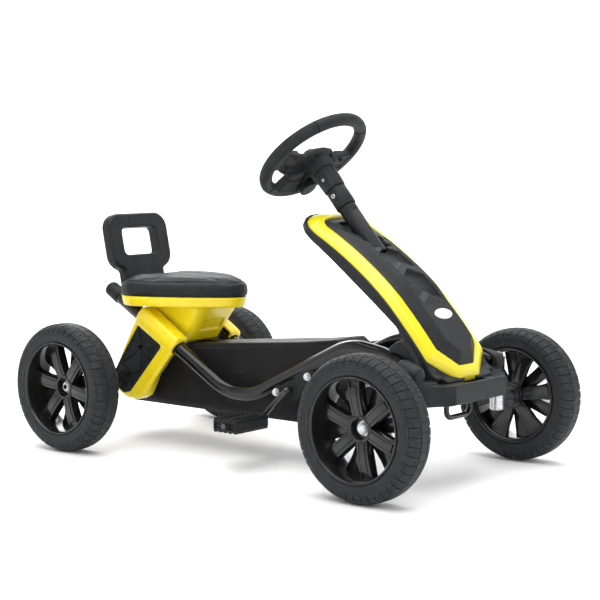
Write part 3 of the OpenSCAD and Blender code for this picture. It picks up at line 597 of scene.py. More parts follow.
def tyre_mesh():
    # r, z, cross groove, pocket, ring groove; crown centre out to the bead
    half = [(125, 0, .9, 0, 0), (125, 3.8, .9, 0, 0), (124.96, 7.4, .9, 0, 0), (124.93, 8.0, .9, 0, 0), (124.9, 8.4, .9, 0, 1.7),
            (124.8, 9.7, 1.2, 0, 1.7), (124.75, 10.1, 2.0, 0, 0), (124.55, 12.2, 2.1, 0, 0), (124.2, 14.3, 2.2, 0, 0), (124.1, 14.8, 2.2, .8, 0),
            (123.2, 18.2, 2.2, .8, 0), (123.0, 18.7, 2.2, 0, 0), (121.7, 21.4, 2.2, 0, 0), (119.8, 24.2, 2.2, 0, 0), (117.4, 26.6, 2.1, 0, 0),
            (115.1, 28.1, 2.0, 0, 0), (114.7, 28.35, 1.9, 0, 1.0), (113.8, 28.8, 1.9, 0, 1.0), (113.4, 29.0, 1.8, 0, 0), (111.2, 29.9, 1.6, 0, 0),
            (108.6, 30.6, 1.2, 0, 0), (107.5, 30.8, .7, 0, 0), (106.9, 30.8, 0, 0, 0), (106.5, 30.2, 0, 0, 0), (103.2, 30.35, 0, 0, 0),
            (99.4, 30.45, 0, 0, 0), (98.9, 30.1, 0, 0, 0), (98.2, 30.1, 0, 0, 0), (97.7, 30.4, 0, 0, 0), (94.6, 30.1, 0, 0, 0),
            (92.2, 29.2, 0, 0, 0), (90.9, 27.9, 0, 0, 0), (90.2, 26.9, 0, 0, 0), (87.05, 26.8, 0, 0, 0)]
    us = [0.0, .036, .066, .13, .25, .285, .5, .715, .75, .87, .934, .964]
    pitch = 2 * math.pi / 48
    prof = [(r, -z, a, b, c, i) for i, (r, z, a, b, c) in reversed(list(enumerate(half)))] + [(r, z, a, b, c, i) for i, (r, z, a, b, c) in enumerate(half)][1:]
    m = len(prof)
    V = []
    for k in range(48):
        for u in us:
            du = min(u, 1 - u)
            g = 1.0 if du < .04 else 0.0
            pk = 1.0 if .28 <= u <= .72 else 0.0
            for r, z, a, b, c, i in prof:
                d = max(a * g, b * pk, c)
                cr = 0.5 if i < 5 else 0.0
                sh = 0.34 * (max(i - 6, 0) / 16.0) ** 1.5 * (1 if z > 0 else -1) * (1 if i < 23 else 0) + (0.34 * (1 if z > 0 else -1) if i >= 23 else 0)
                th = (k + u + cr + sh) * pitch
                nx, nz = r - 97.0, z * 1.35
                L = math.hypot(nx, nz)
                rr, zz = r - nx / L * d, z - nz / L * d
                V.append((rr * math.cos(th), rr * math.sin(th), zz))
    n = 48 * len(us)
    F = []
    for i in range(n):
        j = (i + 1) % n
        for k in range(m):
            q = (k + 1) % m
            F.append((i * m + k, j * m + k, j * m + q, i * m + q))
    return np.array(V), F


def hub_ring(phase, n=120):
    """Scalloped hub with a deep recess, as a turned form whose outside is drawn in six times."""
    prof = [(0, -5), (15.6, -5), (16.6, -4.4), (17.0, -3.4), (17.2, 8.6), (17.9, 9.8), (19.2, 10.2), (22.2, 9.9), (23.4, 9.0), (24.0, 7.4), (24.3, -9.5), (24.3, -25.5), (23.6, -26.6), (18.6, -26.8),
            (18.2, -27.4), (18.0, -31.3), (17.2, -32.0), (0, -32.0)]
    V, F = [], []
    m = len(prof)
    for i in range(n):
        a = 2 * math.pi * i / n
        c = math.cos(6 * (a - phase * D2R) - math.pi)
        s = max(0.0, c) ** 0.8
        for r, z in prof:
            f = 1.0
            if r > 19.5 and z > -10:
                r = r - 3.1 * s * min(1.0, (z + 10) / 6.0)
            V.append((r * math.cos(a), r * math.sin(a), z))
    for i in range(n):
        j = (i + 1) % n
        for k in range(m - 1):
            F.append((i * m + k, j * m + k, j * m + k + 1, i * m + k + 1))
    return weld(V, F)


def spoke_outer():
    rings = []
    for r, zt, w, dip in [(20.5, 8.0, 11.6, 0), (24, 9.0, 11.7, 0), (30, 10.0, 11.8, 0), (40, 11.2, 12.0, 0), (52, 11.8, 12.2, 0), (62, 11.5, 12.5, 0), (70.4, 10.6, 12.8, 0),
                          (71.2, 10.5, 12.8, 3.4), (79.0, 9.2, 13.1, 3.4), (79.6, 9.1, 13.2, 0), (83.2, 8.6, 13.3, 0)]:
        c = 0.55 - dip
        h = [(0, zt + c), (w - 6.7, zt + c), (w - 6.2, zt - 0.75 - (dip > 0) * 2.6), (w - 5.4, zt - 0.75), (w - 4.9, zt), (w - 1.9, zt - 0.05), (w - 0.7, zt - 0.6), (w - 0.05, zt - 1.9), (w + 0.5, -6), (w - 1.5, -6.6)]
        full = h + [(-y, z) for y, z in reversed(h[1:])]
        rings.append([(r, y, z) for y, z in full])
    V, F = loft(rings)
    return V, F


def spoke_inner():
    pts = rounded([(20, -11.5), (60, -12.8), (83.4, -17), (83.4, 17), (60, 12.8), (20, 11.5)], [0, 30, 0, 0, 30, 0], 4)
    V, F = slab(pts, -24, -12.4, 1.4, 3)
    pts2 = rounded([(30, -6.8), (70, -8.6), (76, -8.6), (76, 8.6), (70, 8.6), (30, 6.8)], 3.0, 3)
    V2, F2 = slab(pts2, -12.8, -11.6, 0.6, 2)
    return [(V, F), (V2, F2)]


RIM_PROF = [(90.0, 26.9), (90.0, 29.2), (89.5, 30.0), (88.2, 30.3), (86.9, 29.9), (85.9, 28.6), (85.0, 25.6), (83.4, 16), (82.2, 4), (81.6, -8), (81.4, -20),
            (82.6, -25.5), (85.6, -29.3), (88.2, -30.2), (89.5, -30.0), (90.0, -29.2), (90.0, -26.9), (87.3, -26.6), (87.3, 26.6)]


def rim_mesh(phase):
    g = Geo()
    g.put(*lathe(RIM_PROF, 120, closed=True))
    g.put(*hub_ring(phase + 30))
    so = spoke_outer()
    si = spoke_inner()
    for k in range(6):
        g.put(*so, T(ax="Z", deg=phase + 60 * k))
        for s in si:
            g.put(*s, T(ax="Z", deg=phase + 30 + 60 * k))
    return g


def recalc(o):
    import bmesh
    b = bmesh.new()
    b.from_mesh(o.data)
    bmesh.ops.recalc_face_normals(b, faces=b.faces)
    b.to_mesh(o.data)
    b.free()
    o.data.update()
    return o


ty = tyre_mesh()
WHEELS = [("front_right", AX, -YF, 40, "front_right_wheel"), ("front_left", AX, YF, 20, "front_left_wheel"),
          ("rear_right", -AX, -YR, 50, "rear_right_wheel"), ("rear_left", -AX, YR, 10, "drive_axle")]
for nm, x, y, ph, body in WHEELS:
    P = wheel_place(x, y)
    o = Geo().put(*ty, P).add(nm + "_tyre_tread", "tyre", BODY[nm + "_tyre"], (nm + "_tyre",), sharp=38)
    recalc(o)
    g = rim_mesh(ph)
    V = np.concatenate(g.v) @ P[:3, :3].T + P[:3, 3]
    o = add(nm + "_rim_spoked", V, g.f, "rim", BODY[nm + "_rim"], (nm + "_rim",), sharp=34)
    recalc(o)


def hex_nut(r, z0, z1, ch=1.0, nyloc=False):
    """Hexagon nut with chamfered corners; r is across corners / 2."""
    rings = []
    n = 36
    for z, f in ((z0, 0), (z0, 1), (z0 + ch, 2), (z1 - ch, 2), (z1, 1), (z1, 0)):
        ring = []
        for k in range(n):
            a = 2 * math.pi * k / n
            ah = (a + math.pi / 6) % (math.pi / 3) - math.pi / 6
            hexr = r * math.cos(math.pi / 6) / math.cos(ah)
            rr = {0: r * 0.52, 1: min(hexr, r * 0.875), 2: hexr}[f]
            ring.append((rr * math.cos(a), rr * math.sin(a), z))
        rings.append(ring)
    return loft(rings)


def hub_hardware():
    """Washer, lock nut and threaded axle end, wheel centre at the origin, outboard up."""
    g = Geo()
    g.put(*lathe([(6.1, -4.9), (12.6, -4.9), (13, -4.6), (13, -3.6), (12.6, -3.3), (6.1, -3.3)], 48, closed=True))
    g.put(*hex_nut(10.4, -3.3, 2.6, 0.9))
    g.put(*lathe([(0, 2.0), (8.0, 2.0), (8.1, 3.2), (7.4, 4.2), (0, 4.2)], 40))
    prof = [(0, -8.0), (6.0, -8.0)]
    z = -7.4
    while z < 4.7:
        prof += [(5.95, z), (5.5, z + 0.45)]
        z += 0.9
    prof += [(5.7, 4.9), (5.0, 5.6), (0, 5.6)]
    g.put(*lathe(prof, 40))
    return g


hw = hub_hardware()
for nm, x, y, body, rep in [("rear_right_lock_nut", -AX, -YR, "drive_axle", ("rear_axle_nuts",)), ("rear_left_lock_nut", -AX, YR, "drive_axle", ("rear_axle_nuts",))]:
    P = wheel_place(x, y)
    V = np.concatenate(hw.v) @ P[:3, :3].T + P[:3, 3]
    recalc(add(nm, V, hw.f, "zinc", body, rep, sharp=30))

# ------------------------------------------------------------------ steering knuckles
KY = 170.0
for s, nm, body in ((-1, "right_knuckle", "knuckle_right"), (1, "left_knuckle", "knuckle_left")):
    g = Geo()
    C = T((AX, s * KY, 0))
    g.put(*lathe([(0, 104), (12.8, 104), (14, 105.2), (14, 140.2), (13, 141.4), (0, 141.4)], 48), C)
    g.put(*lathe([(0, 140.5), (6, 140.5), (6, 211), (5, 212), (0, 212)], 32), C)
    g.put(*lathe([(6.1, 198.6), (13.4, 198.6), (14, 199.2), (14, 202.4), (13.4, 203.0), (6.1, 203.0)], 40, closed=True), C)
    arm = rounded([(0, -9), (0, 9), (-38, 9.5), (-60, 10), (-70, 0), (-60, -10), (-38, -9.5)], [0, 0, 5, 9.5, 9.5, 9.5, 5], 6)
    g.put(*slab(arm, 198.6, 203, 0.6, 2), C)
    g.put(*lathe([(0, 176), (3.4, 176), (4, 176.8), (4, 199), (0, 199)], 28), T((AX - 60, s * KY, 0)))
    g.put(*lathe([(0, 202.5), (7.5, 202.5), (7.5, 204.2), (5, 206.2), (0, 206.6)], 28), T((AX - 60, s * KY, 0)))
    g.put(*hex_nut(10.4, 203, 209.6, 1.0), C)
    y0, y1 = KY, YF - 32.4
    g.put(*lathe([(0, y0), (10, y0), (10, y1 - 0.8), (9.2, y1), (0, y1)], 40), T((AX, 0, ZW), R=np.array([[1, 0, 0], [0, 0, s], [0, -s, 0]], float)))
    P = wheel_place(AX, s * YF)
    V = np.concatenate(hw.v) @ P[:3, :3].T + P[:3, 3]
    g.put(V, hw.f)
    g.put(*lathe([(0, y1 - 2), (6, y1 - 2), (6, YF - 4), (0, YF - 4)], 32), T((AX, 0, ZW), R=np.array([[1, 0, 0], [0, 0, s], [0, -s, 0]], float)))
    recalc(g.add(nm + "_forging", "zinc", body, (nm,), sharp=30))

# ------------------------------------------------------------------ side tubes and their caps
TUBE = [(-399, 78, 303.8), (-56.7, 78, 105.9), (212, 78, 235.8), (292, 84, 225), (380, 123, 203)]
for s, nm in ((-1, "right"), (1, "left")):
    pts = [(x, s * y, z) for x, y, z in TUBE]
    V, F = sweep(bent(pts, [0, 135, 110, 90, 0]), 14.0, 40)
    recalc(add(nm + "_side_tube_bent", V, F, "paint", "chassis", (nm + "_side_tube",), sharp=40))
u = np.array([TUBE[1][0] - TUBE[0][0], 0, TUBE[1][2] - TUBE[0][2]])
u /= np.linalg.norm(u)
CAPR = np.array([[u[2], 0, u[0]], [0, 1, 0], [-u[0], 0, u[2]]])
g = Geo()
cap = lathe([(0, -10), (7, -9.8), (10.6, -8.9), (13.3, -7.0), (15.0, -4.4), (15.6, -1.4), (15.6, 6), (15.2, 6.4), (15.2, 7.2), (15.6, 7.6), (15.6, 28.8), (15.1, 30), (13, 30.2)], 48)
for s in (-1, 1):
    g.put(*cap, T((TUBE[0][0], s * 78, TUBE[0][2]), R=CAPR))
recalc(g.add("tube_end_caps_domed", "smooth_black", "chassis", ("tube_end_caps",), sharp=40))

# ------------------------------------------------------------------ nose fairing, in unrolled coordinates: s along the inner line, n out of it
HS = 1.0


def spline(P, n=8):
    P = [np.array(p, float) for p in P]
    Q = [2 * P[0] - P[1]] + P + [2 * P[-1] - P[-2]]
    out = []
    for i in range(1, len(Q) - 2):
        for k in range(n):
            t = k / n
            a, b, c, d = Q[i - 1], Q[i], Q[i + 1], Q[i + 2]
            out.append(0.5 * ((2 * b) + (c - a) * t + (2 * a - 5 * b + 4 * c - d) * t * t + (3 * b - a - 3 * c + d) * t ** 3))
    out.append(P[-1])
    return np.array(out)


NI = [(136, 453), (147, 445.5), (174, 430), (211, 406.5), (246, 381.5), (278, 356), (308, 329), (334, 301.5), (350, 283.5), (366, 265), (386, 240.5), (409, 210.5)]
spn = spline(NI, 6)
d0 = (spn[0] - spn[1]) / np.linalg.norm(spn[0] - spn[1])
d1 = (spn[-1] - spn[-2]) / np.linalg.norm(spn[-1] - spn[-2])
SP = np.concatenate([[spn[0] + d0 * 90], spn, [spn[-1] + d1 * 90]])
SPL = np.concatenate([[0], np.cumsum(np.linalg.norm(np.diff(SP, axis=0), axis=1))]) - 90.0


def unroll(x, z):
    """Arc length along the line and signed height above it."""
    x, z = np.broadcast_arrays(x, z)
    best = np.full(x.shape, 1e18)
    s = np.zeros(x.shape)
    n = np.zeros(x.shape)
    for i in range(len(SP) - 1):
        a, e = SP[i], SP[i + 1] - SP[i]
        L = math.hypot(*e)
        wx, wz = x - a[0], z - a[1]
        t = np.clip((wx * e[0] + wz * e[1]) / (L * L), 0, 1)
        bx, bz = wx - e[0] * t, wz - e[1] * t
        d = bx * bx + bz * bz
        m = d < best
        best = np.where(m, d, best)
        s = np.where(m, SPL[i] + t * L, s)
        sign = np.where(-e[1] * wx + e[0] * wz >= 0, 1.0, -1.0)
        n = np.where(m, sign * np.sqrt(d), n)
    return s, n


def s_at(x):
    i = int(np.argmin(np.abs(SP[:, 0] - x)))
    return SPL[i]


S1 = s_at(386)
OUTER = [(-40, -40), (-39.5, 22), (-37, 44), (-31, 61), (-20.5, 77), (-6, 86.5), (12, 88.3), (S1 + 14, 88), (S1 + 62, 31), (S1 + 62, -40)]
INNER = [(-13, -40), (-12.5, 28), (-9.5, 44), (-2, 55.5), (9, 61), (S1 - 1, 61), (S1 + 37, 23), (S1 + 37, -40)]


def outer2(s, a, g=0.0):
    return rpoly(s, a, OUTER, 9.0) - g


def inner2(s, a, g=0.0):
    return rpoly(s, a, INNER, 5.0) - g


def lerp_s(s, ks, vs):
    return np.interp(s, ks, vs)


def f_trim(x, y, z):
    s, n = unroll(x, z)
    a = np.abs(y)
    o, i = outer2(s, a), inner2(s, a)
    t = np.clip(-o / 27.0, 0, 1)
    top = -15.0 + 15.0 * (1 - (1 - t) ** 2.1) ** 0.60
    q = smax((n - top) * 0.82, o, 1.0)
    return smax(smax(q, -i + 0.0, 1.2), -17.5 - n, 1.0)


RK = [-40, 0, 60, 93, 135, 177, 217, 256, 280, 304, 330, 400]
RV = [1.5, 3.0, 5.4, 7.0, 8.6, 10.4, 11.8, 13.2, 14.0, 14.2, 13.4, 13.0]


def f_insert(x, y, z):
    s, n = unroll(x, z)
    a = np.abs(y)
    i = inner2(s, a, -0.9)
    e = -i
    ridge = lerp_s(s, RK, RV)
    slope = -1.6 + (ridge + 1.6) * np.clip(e / 18.5, 0, 1)
    field = e - 18.5
    # lowered well round the column, with stepped edges, then two deep V-shaped pockets down the middle
    step = 5.0 * (np.mod(s, 26.0) < 13.0)
    well = np.maximum(np.maximum(a - (29.0 - step), 4.0 - s), s - (S1 - 232))
    slope = slope - 8.0 * np.clip(-well / 2.5, 0, 1)
    slope = slope + 3.6 * np.clip((e - 8) / 12.0, 0, 1) * np.clip((S1 - 84 - s) / 40.0, 0, 1) * np.clip((s - 30) / 40.0, 0, 1)
    t = s - 0.55 * a
    depth = 0.0
    for t0, t1 in ((S1 - 232, S1 - 184), (S1 - 168, S1 - 104)):
        edge = np.maximum(t0 - t, a - 31.0)
        depth = depth + 7.4 * np.clip(-edge / 2.4, 0, 1) * np.clip((t1 - t) / 14.0, 0, 1)
    slope = slope - depth
    bar = np.maximum(np.maximum(a - 39.5, 32.0 - a), np.maximum(S1 - 262 - s, s - (S1 - 104)))
    bar = np.maximum(bar, 3.0 - np.mod(s - S1 + 262, 34.0))
    hatch = np.clip(-bar / 1.2, 0, 1) * (0.5 - 0.5 * np.cos(2 * math.pi * (s + 0.62 * a) / 4.2))
    slope = slope - 1.5 * hatch
    q = smax((n - slope) * 0.86, i, 0.8)
    # socket that the column cover drops into
    cx, cz = x - 63.0, z - 574.0
    lx = cx * math.cos(LEAN) + cz * math.sin(LEAN)
    lz = -cx * math.sin(LEAN) + cz * math.cos(LEAN)
    rad = np.hypot(lx, y)
    q = smax(q, -np.minimum(rad - 12.6, np.maximum(rad - 19.6, -239.0 - lz)), 1.2)
    return smax(q, -9.0 - n, 1.0)


NK = [-40, -20, 0, 40, 90, 135, 177, 215, 245, 262, 285, 330, 420]
NV = [-23, -25, -27.0, -31.5, -35, -36.5, -35.6, -33, -29, -25.5, -25, -25.5, -24]


def f_base(x, y, z):
    s, n = unroll(x, z)
    a = np.abs(y)
    grow = lerp_s(s, [-40, -10, 30, 400], [6.0, 4.5, 2.6, 2.6])
    o = outer2(s, a) - grow
    low = lerp_s(s, NK, NV)
    shell = smax(smax(o, n + 14.0, 2.5), (low - n) * 0.97, 2.5)
    cav = smax(outer2(s, a) + 3.5, n + 19.0, 3.0)
    leg = ext(rpoly(x, z, [(310, 290), (318, 280), (330, 256), (343, 233), (352, 214), (362, 196), (368, 185), (404, 185), (408, 194), (396, 201), (375, 229), (355, 252), (339, 271), (322, 288)], 3.0), between(a, 70.0, 89.0), 3.0)
    web = ext(rpoly(x, z, [(310, 240), (314, 228), (326, 217), (342, 210), (358, 206), (371, 201), (376, 206), (366, 226), (350, 245), (338, 256), (326, 252)], 2.0), between(a, 84, 99.5), 3.0)
    d = smax(shell, -cav, 1.5)
    d = smin(d, leg, 4.0)
    d = smin(d, web, 5.0)
    d = smin(d, ext(rpoly(x, z, [(352, 183.6), (352, 196), (392, 200), (414, 190), (420, 183.6)], 2.0), a - 72.0, 2.0), 4.0)
    hole = ext(np.hypot(x - 340, z - 236) * 0 + 10, a, 0)
    tubeclear = 15.0 - capsule(x, a, z, (292, 84, 225), (380, 123, 203), 0.0)
    d = smax(d, tubeclear, 1.0)
    cx, cz = x - 63.0, z - 574.0
    lx = cx * math.cos(LEAN) + cz * math.sin(LEAN)
    return smax(d, 25.0 - np.hypot(lx, y), 1.0)


recalc(moulded("nose_trim_ring", f_trim, (92, -91, 178), (420, 91, 474), 2.0 * HS, "yellow_nose", "chassis", ("nose_trim",)))
recalc(moulded("nose_insert_panel", f_insert, (118, -62, 200), (424, 62, 476), 1.5 * HS, "smooth_black", "chassis", ("nose_insert",)))
recalc(moulded("nose_base_shell", f_base, (86, -106, 182), (424, 106, 470), 2.2 * HS, "smooth_black", "chassis", ("nose_base",)))

# blank oval badge, domed, with a fine raised rim
def badge():
    g = Geo()
    V, F = [], []
    n = 64
    rings = [(1.0, -1.5), (1.0, 1.2), (0.985, 1.7), (0.95, 1.9), (0.91, 1.55), (0.86, 1.6), (0.6, 2.1), (0.3, 2.35)]
    R = []
    for k, z in rings:
        R.append([(11.0 * k * math.cos(2 * math.pi * i / n), 24.6 * k * math.sin(2 * math.pi * i / n), z) for i in range(n)])
    V, F = loft(R, cap=False)
    V = np.concatenate([V, [[0, 0, 2.4], [0, 0, -1.5]]])
    m = len(V)
    for i in range(n):
        F.append(((len(R) - 1) * n + i, (len(R) - 1) * n + (i + 1) % n, m - 2))
        F.append(((i + 1) % n, i, m - 1))
    return V, F


ib = int(np.argmin(np.abs(SPL - (S1 - 61))))
tb = SP[ib + 1] - SP[ib]
tb = tb / np.linalg.norm(tb)
nb = np.array([-tb[1], tb[0]])
cb = SP[ib] + nb * 13.9
Rb = np.array([[tb[0], 0, nb[0]], [0, 1, 0], [tb[1], 0, nb[1]]], float)
recalc(Geo().put(*badge(), T((cb[0], 0, cb[1]), R=Rb)).add("nose_badge_oval", "badge", "chassis", ("nose_badge",), sharp=50))

# ------------------------------------------------------------------ side covers
COVER = [(-312, 263), (-300, 275), (-288, 271), (-212, 223), (-203, 216), (-205, 209), (-224, 184), (-300, 95), (-318, 87), (-345, 88), (-362, 96), (-384, 112), (-386, 138), (-374, 152)]
COVIN = [(-309, 238), (-247, 203), (-246, 198), (-333, 102), (-352, 98), (-377.5, 114.5), (-381, 136), (-373, 148)]


def tube_z(x):
    return 172 - 0.578 * (x + 171)


def f_cover(x, y, z):
    # the wall on the pedal side leans back as it goes inwards
    back = np.clip((z - 80) / 60.0, 0, 1) * np.clip((205 - z) / 20.0, 0, 1)
    xs = x + (97.0 - y) * 0.55 * back
    body = ext(np.maximum(rpoly(x, z, COVER, 7.0), rpoly(xs, z, COVER, 7.0) - 3.0), between(y, 56.0, 97.0), 8.5)
    ax = (x + 216) * 0.8658 - (z - tube_z(-216)) * 0.5004
    pr = np.hypot((x + 171) * 0.5004 + (z - 172) * 0.8658 - 1.5, (y - 78) * 0.92)
    arm = ext(pr - 19.4, between(ax, -108, 0), 3.0)
    d = smin(body, arm, 7.0)
    d = smax(d, 64.4 - y, 0.8)
    cav = ext(poly2(x, z, inset(COVER, 4.6)), between(y, 40, 92.5), 2.0)
    cav = np.maximum(cav, poly2(xs, z, inset(COVER, 4.6)) - 1.0)
    d = smax(d, -cav, 1.0)
    # raised border round the recess for the insert
    rec = ext(rpoly(x, z, COVIN, 3.0), between(y, 94.6, 120), 0.6)
    d = smax(d, -rec, 1.0)
    # shoulder crease along the arm
    cr = (x + 171) * 0.5004 + (z - 172) * 0.8658
    d = d + 0.7 * np.exp(-((cr + 19.5) / 1.1) ** 2) * (y > 88) * (x > -246)
    d = smax(d, 17.4 - np.hypot(x + 365, z - 125), 1.0)
    tube = np.hypot((x + 171) * 0.5004 + (z - 172) * 0.8658, y - 78)
    d = smax(d, 13.9 - tube, 0.8)
    lead = np.maximum(15.6 - tube, -(ax + 3.0))
    return smax(d, np.minimum(lead, 15.6 - tube), 0.5)


for nm, s in (("left", 1), ("right", -1)):
    fn = f_cover if s > 0 else (lambda x, y, z: f_cover(x, -y, z))
    lo, hi = ((-388, 62, 84), (-196, 99, 282)) if s > 0 else ((-388, -99, 84), (-196, -62, 282))
    recalc(moulded(nm + "_side_cover_moulding", fn, lo, hi, 1.8 * HS, "yellow", "chassis", (nm + "_side_cover",)))


def cover_insert(s):
    """Black insert: a plate whose face is broken into star-like facets, with fine hatch bars."""
    O = rounded(inset([p for p in (COVIN if area2(COVIN) > 0 else COVIN[::-1])], 0.7), 2.5, 3)
    g = Geo()
    n = len(O)
    c1, c2 = np.array([-300.0, 196.0]), np.array([-334.0, 140.0])
    inn = inset(O, 5.0)
    V = [(x, 93.0, z) for x, z in O] + [(x, 96.6, z) for x, z in O] + [(x, 97.1, z) for x, z in inset(O, 0.8)] + [(x, 97.1, z) for x, z in inset(O, 3.6)] + [(x, 95.6, z) for x, z in inn]
    F = []
    for L in range(4):
        for i in range(n):
            j = (i + 1) % n
            F.append((L * n + i, L * n + j, (L + 1) * n + j, (L + 1) * n + i))
    F.append(tuple(range(n)))
    # facets
    b = 4 * n
    V += [(c1[0], 98.2, c1[1]), (c2[0], 97.6, c2[1])]
    k1, k2 = len(V) - 2, len(V) - 1
    for i in range(n):
        j = (i + 1) % n
        m = (np.array(inn[i]) + np.array(inn[j])) / 2
        near1 = np.linalg.norm(m - c1) < np.linalg.norm(m - c2)
        F.append((b + i, b + j, k1 if near1 else k2))
        mj = (np.array(inn[j]) + np.array(inn[(j + 1) % n])) / 2
        near2 = np.linalg.norm(mj - c1) < np.linalg.norm(mj - c2)
        if near1 != near2:
            F.append((b + j, k2, k1) if near1 else (b + j, k1, k2))
    g.put(V, F)
    # raised star ribs and hatch bars
    def ribs(p, q, w, y0, y1):
        p, q = np.array(p, float), np.array(q, float)
        d = (q - p) / np.linalg.norm(q - p)
        m = np.array([-d[1], d[0]])
        poly = [tuple(p + m * w), tuple(p - m * w), tuple(q - m * w * 0.25), tuple(q + m * w * 0.25)]
        if area2(poly) < 0:
            poly = poly[::-1]
        g.put(*wall(poly, y0, y1, 0.6, 2))
    for q in [(-309, 232), (-255, 202), (-269, 178), (-357, 160), (-326, 205), (-306, 150)]:
        ribs(c1, q, 4.2, 94.5, 98.6)
    for q in [(-374, 128), (-348, 108), (-328, 112), (-356, 155), (-306, 150)]:
        ribs(c2, q, 3.6, 94.5, 98.2)
    for k in range(9):
        z = 170 + k * 3.1
        g.put(*wall([(-331 + k * 1.8, z), (-279 + k * 1.0, z), (-279 + k * 1.0, z + 1.3), (-331 + k * 1.8, z + 1.3)], 94.5, 97.9, 0.35, 1))
    Vv = np.concatenate(g.v) * np.array([1, s, 1])
    return Vv, (g.f if s > 0 else [tuple(reversed(f)) for f in g.f])


for nm, s in (("left", 1), ("right", -1)):
    recalc(add(nm + "_cover_insert_faceted", *cover_insert(s), "textured", "chassis", (nm + "_cover_insert",), sharp=12))

# ------------------------------------------------------------------ bumper
BUMP = [(350, -132), (396, -136), (412, -120), (424, -99), (440, -80), (440, 80), (424, 99), (412, 120), (396, 136), (350, 132), (352, 98), (372, 90), (386, 58), (386, -58), (372, -90), (352, -98)]


def f_bumper(x, y, z):
    a = np.abs(y)
    plan = rpoly(x, y, BUMP, 4.0)
    d = ext(plan, between(z, 148.0, 184.0), 3.0)
    # chamfered lower front edge and step slot on the top
    d = smax(d, ((x - 440) * 0.5 - (z - 156) * 0.866 - 4.5 + 0 * y), 2.0)
    slot = box(x, y, z, (405, -34, 178.5), (431, 34, 200), 2.0)
    d = smax(d, -slot, 1.2)
    rec = box(x, y, z, (434.5, -62, 156), (450, 62, 174), 2.0)
    sh = ext(rpoly(x, a, [(350, 94), (372, 92), (398, 88), (416, 99), (409, 118), (396, 133), (350, 130)], 4.0), between(z, 150, 190.0), 3.5)
    d = smin(d, sh, 5.0)
    dome = capsule(x, a, z, (357, 112.8, 208.8), (386, 125.6, 201.5), 17.4)
    dome = smax(dome, 112.8 - a, 1.0)
    dome = smax(dome, 349.5 - x, 1.0)
    d = smin(d, dome, 4.5)
    d = smax(d, 14.2 - capsule(x, a, z, (292, 84, 225), (377, 121.7, 203.8), 0.0), 0.8)
    d = smax(d, 13.4 - np.hypot(x - 365, z - 170), 0.8)
    cav = box(x, y, z, (345, -126, 140), (428, 126, 172), 3.0)
    cav = np.maximum(cav, plan + 5.0)
    return smax(d, -cav, 1.0)


recalc(moulded("bumper_moulding", f_bumper, (346, -142, 146), (442, 142, 230), 2.0 * HS, "smooth_black", "chassis", ("bumper",)))
V, F = sweep(bent([(391, -37, 166), (391, -37, 117), (391, 37, 117), (391, 37, 166)], [0, 14, 14, 0], 2.0), 5.0, 24)
recalc(add("front_hoop_bar", V, F, "paint", "chassis", ("front_hoop",), sharp=40))

# ------------------------------------------------------------------ chain case, two mirrored halves
CASE = [(-415, 120), (-408, 98), (-392, 82), (-370, 75), (150, 75), (168, 82), (176, 98), (176, 205), (168, 226), (149, 238), (76, 229), (-50, 218), (-195, 205), (-300, 192), (-380, 176), (-405, 158), (-414, 140)]
CASE_PANEL = [(-405, 120), (-399, 101), (-386, 88), (-368, 81), (146, 81), (160, 88), (168, 101), (168, 200), (160, 219), (146, 228), (76, 221), (-50, 210), (-195, 197), (-299, 184), (-377, 169), (-398, 154), (-405, 140)]


def f_case(x, y, z):
    d = ext(rpoly(x, z, CASE, 8.0), between(y, -30, 49.0), 6.5)
    d = smin(d, ext(rpoly(x, z, CASE_PANEL, 10.0), between(y, 20, 52.0), 3.0), 2.0)
    # long lower swelling whose edge shows as a crease
    d = smin(d, ext(rpoly(x, z, [(-400, 118), (-396, 104), (-384, 92), (-366, 86), (144, 86), (156, 92), (163, 104), (163, 139), (-60, 146), (-360, 158), (-392, 150)], 12.0), between(y, 20, 53.2), 1.6), 2.5)
    clip = ext(rpoly(x, z, [(-92, 141), (-60, 141), (-60, 160), (-92, 160)], 2.0), between(y, 50, 54.0), 0.8)
    clip = np.maximum(clip, -box(x, y, z, (-88, 53.0, 144.5), (-64, 60, 150)))
    d = np.minimum(d, clip)
    cav = ext(poly2(x, z, inset(CASE if area2(CASE) > 0 else CASE[::-1], 6.0)), between(y, -40, 43.5), 1.0)
    d = smax(d, -cav, 0.8)
    d = smax(d, 10.0 - np.hypot(x + 365, z - 125), 0.8)
    d = smax(d, 8.0 - np.hypot(x - 80, z - 145), 0.8)
    return smax(d, 0.1 - y, 0.5)


V, F = nets(f_case, (-416, 0, 74), (177, 55, 239), 2.2 * HS)
for nm, s in (("left", 1), ("right", -1)):
    recalc(add(nm + "_chain_case_shell", V * np.array([1, s, 1]), F if s > 0 else F[:, ::-1], "case", "chassis", (nm + "_chain_case",)))

# ------------------------------------------------------------------ seat
def seat_ring(k, n=72):
    out = []
    for i in range(n):
        t = 2 * math.pi * i / n
        c, s = math.cos(t), math.sin(t)
        X = k * 130 * math.copysign(abs(c) ** 0.8, c)
        Y = k * 120 * math.copysign(abs(s) ** 0.8, s)
        out.append((-243 + X, Y * (1 - 0.56 * X / (k * 130)) * 0.86))
    return out


SEAT1 = seat_ring(1.0, 60)


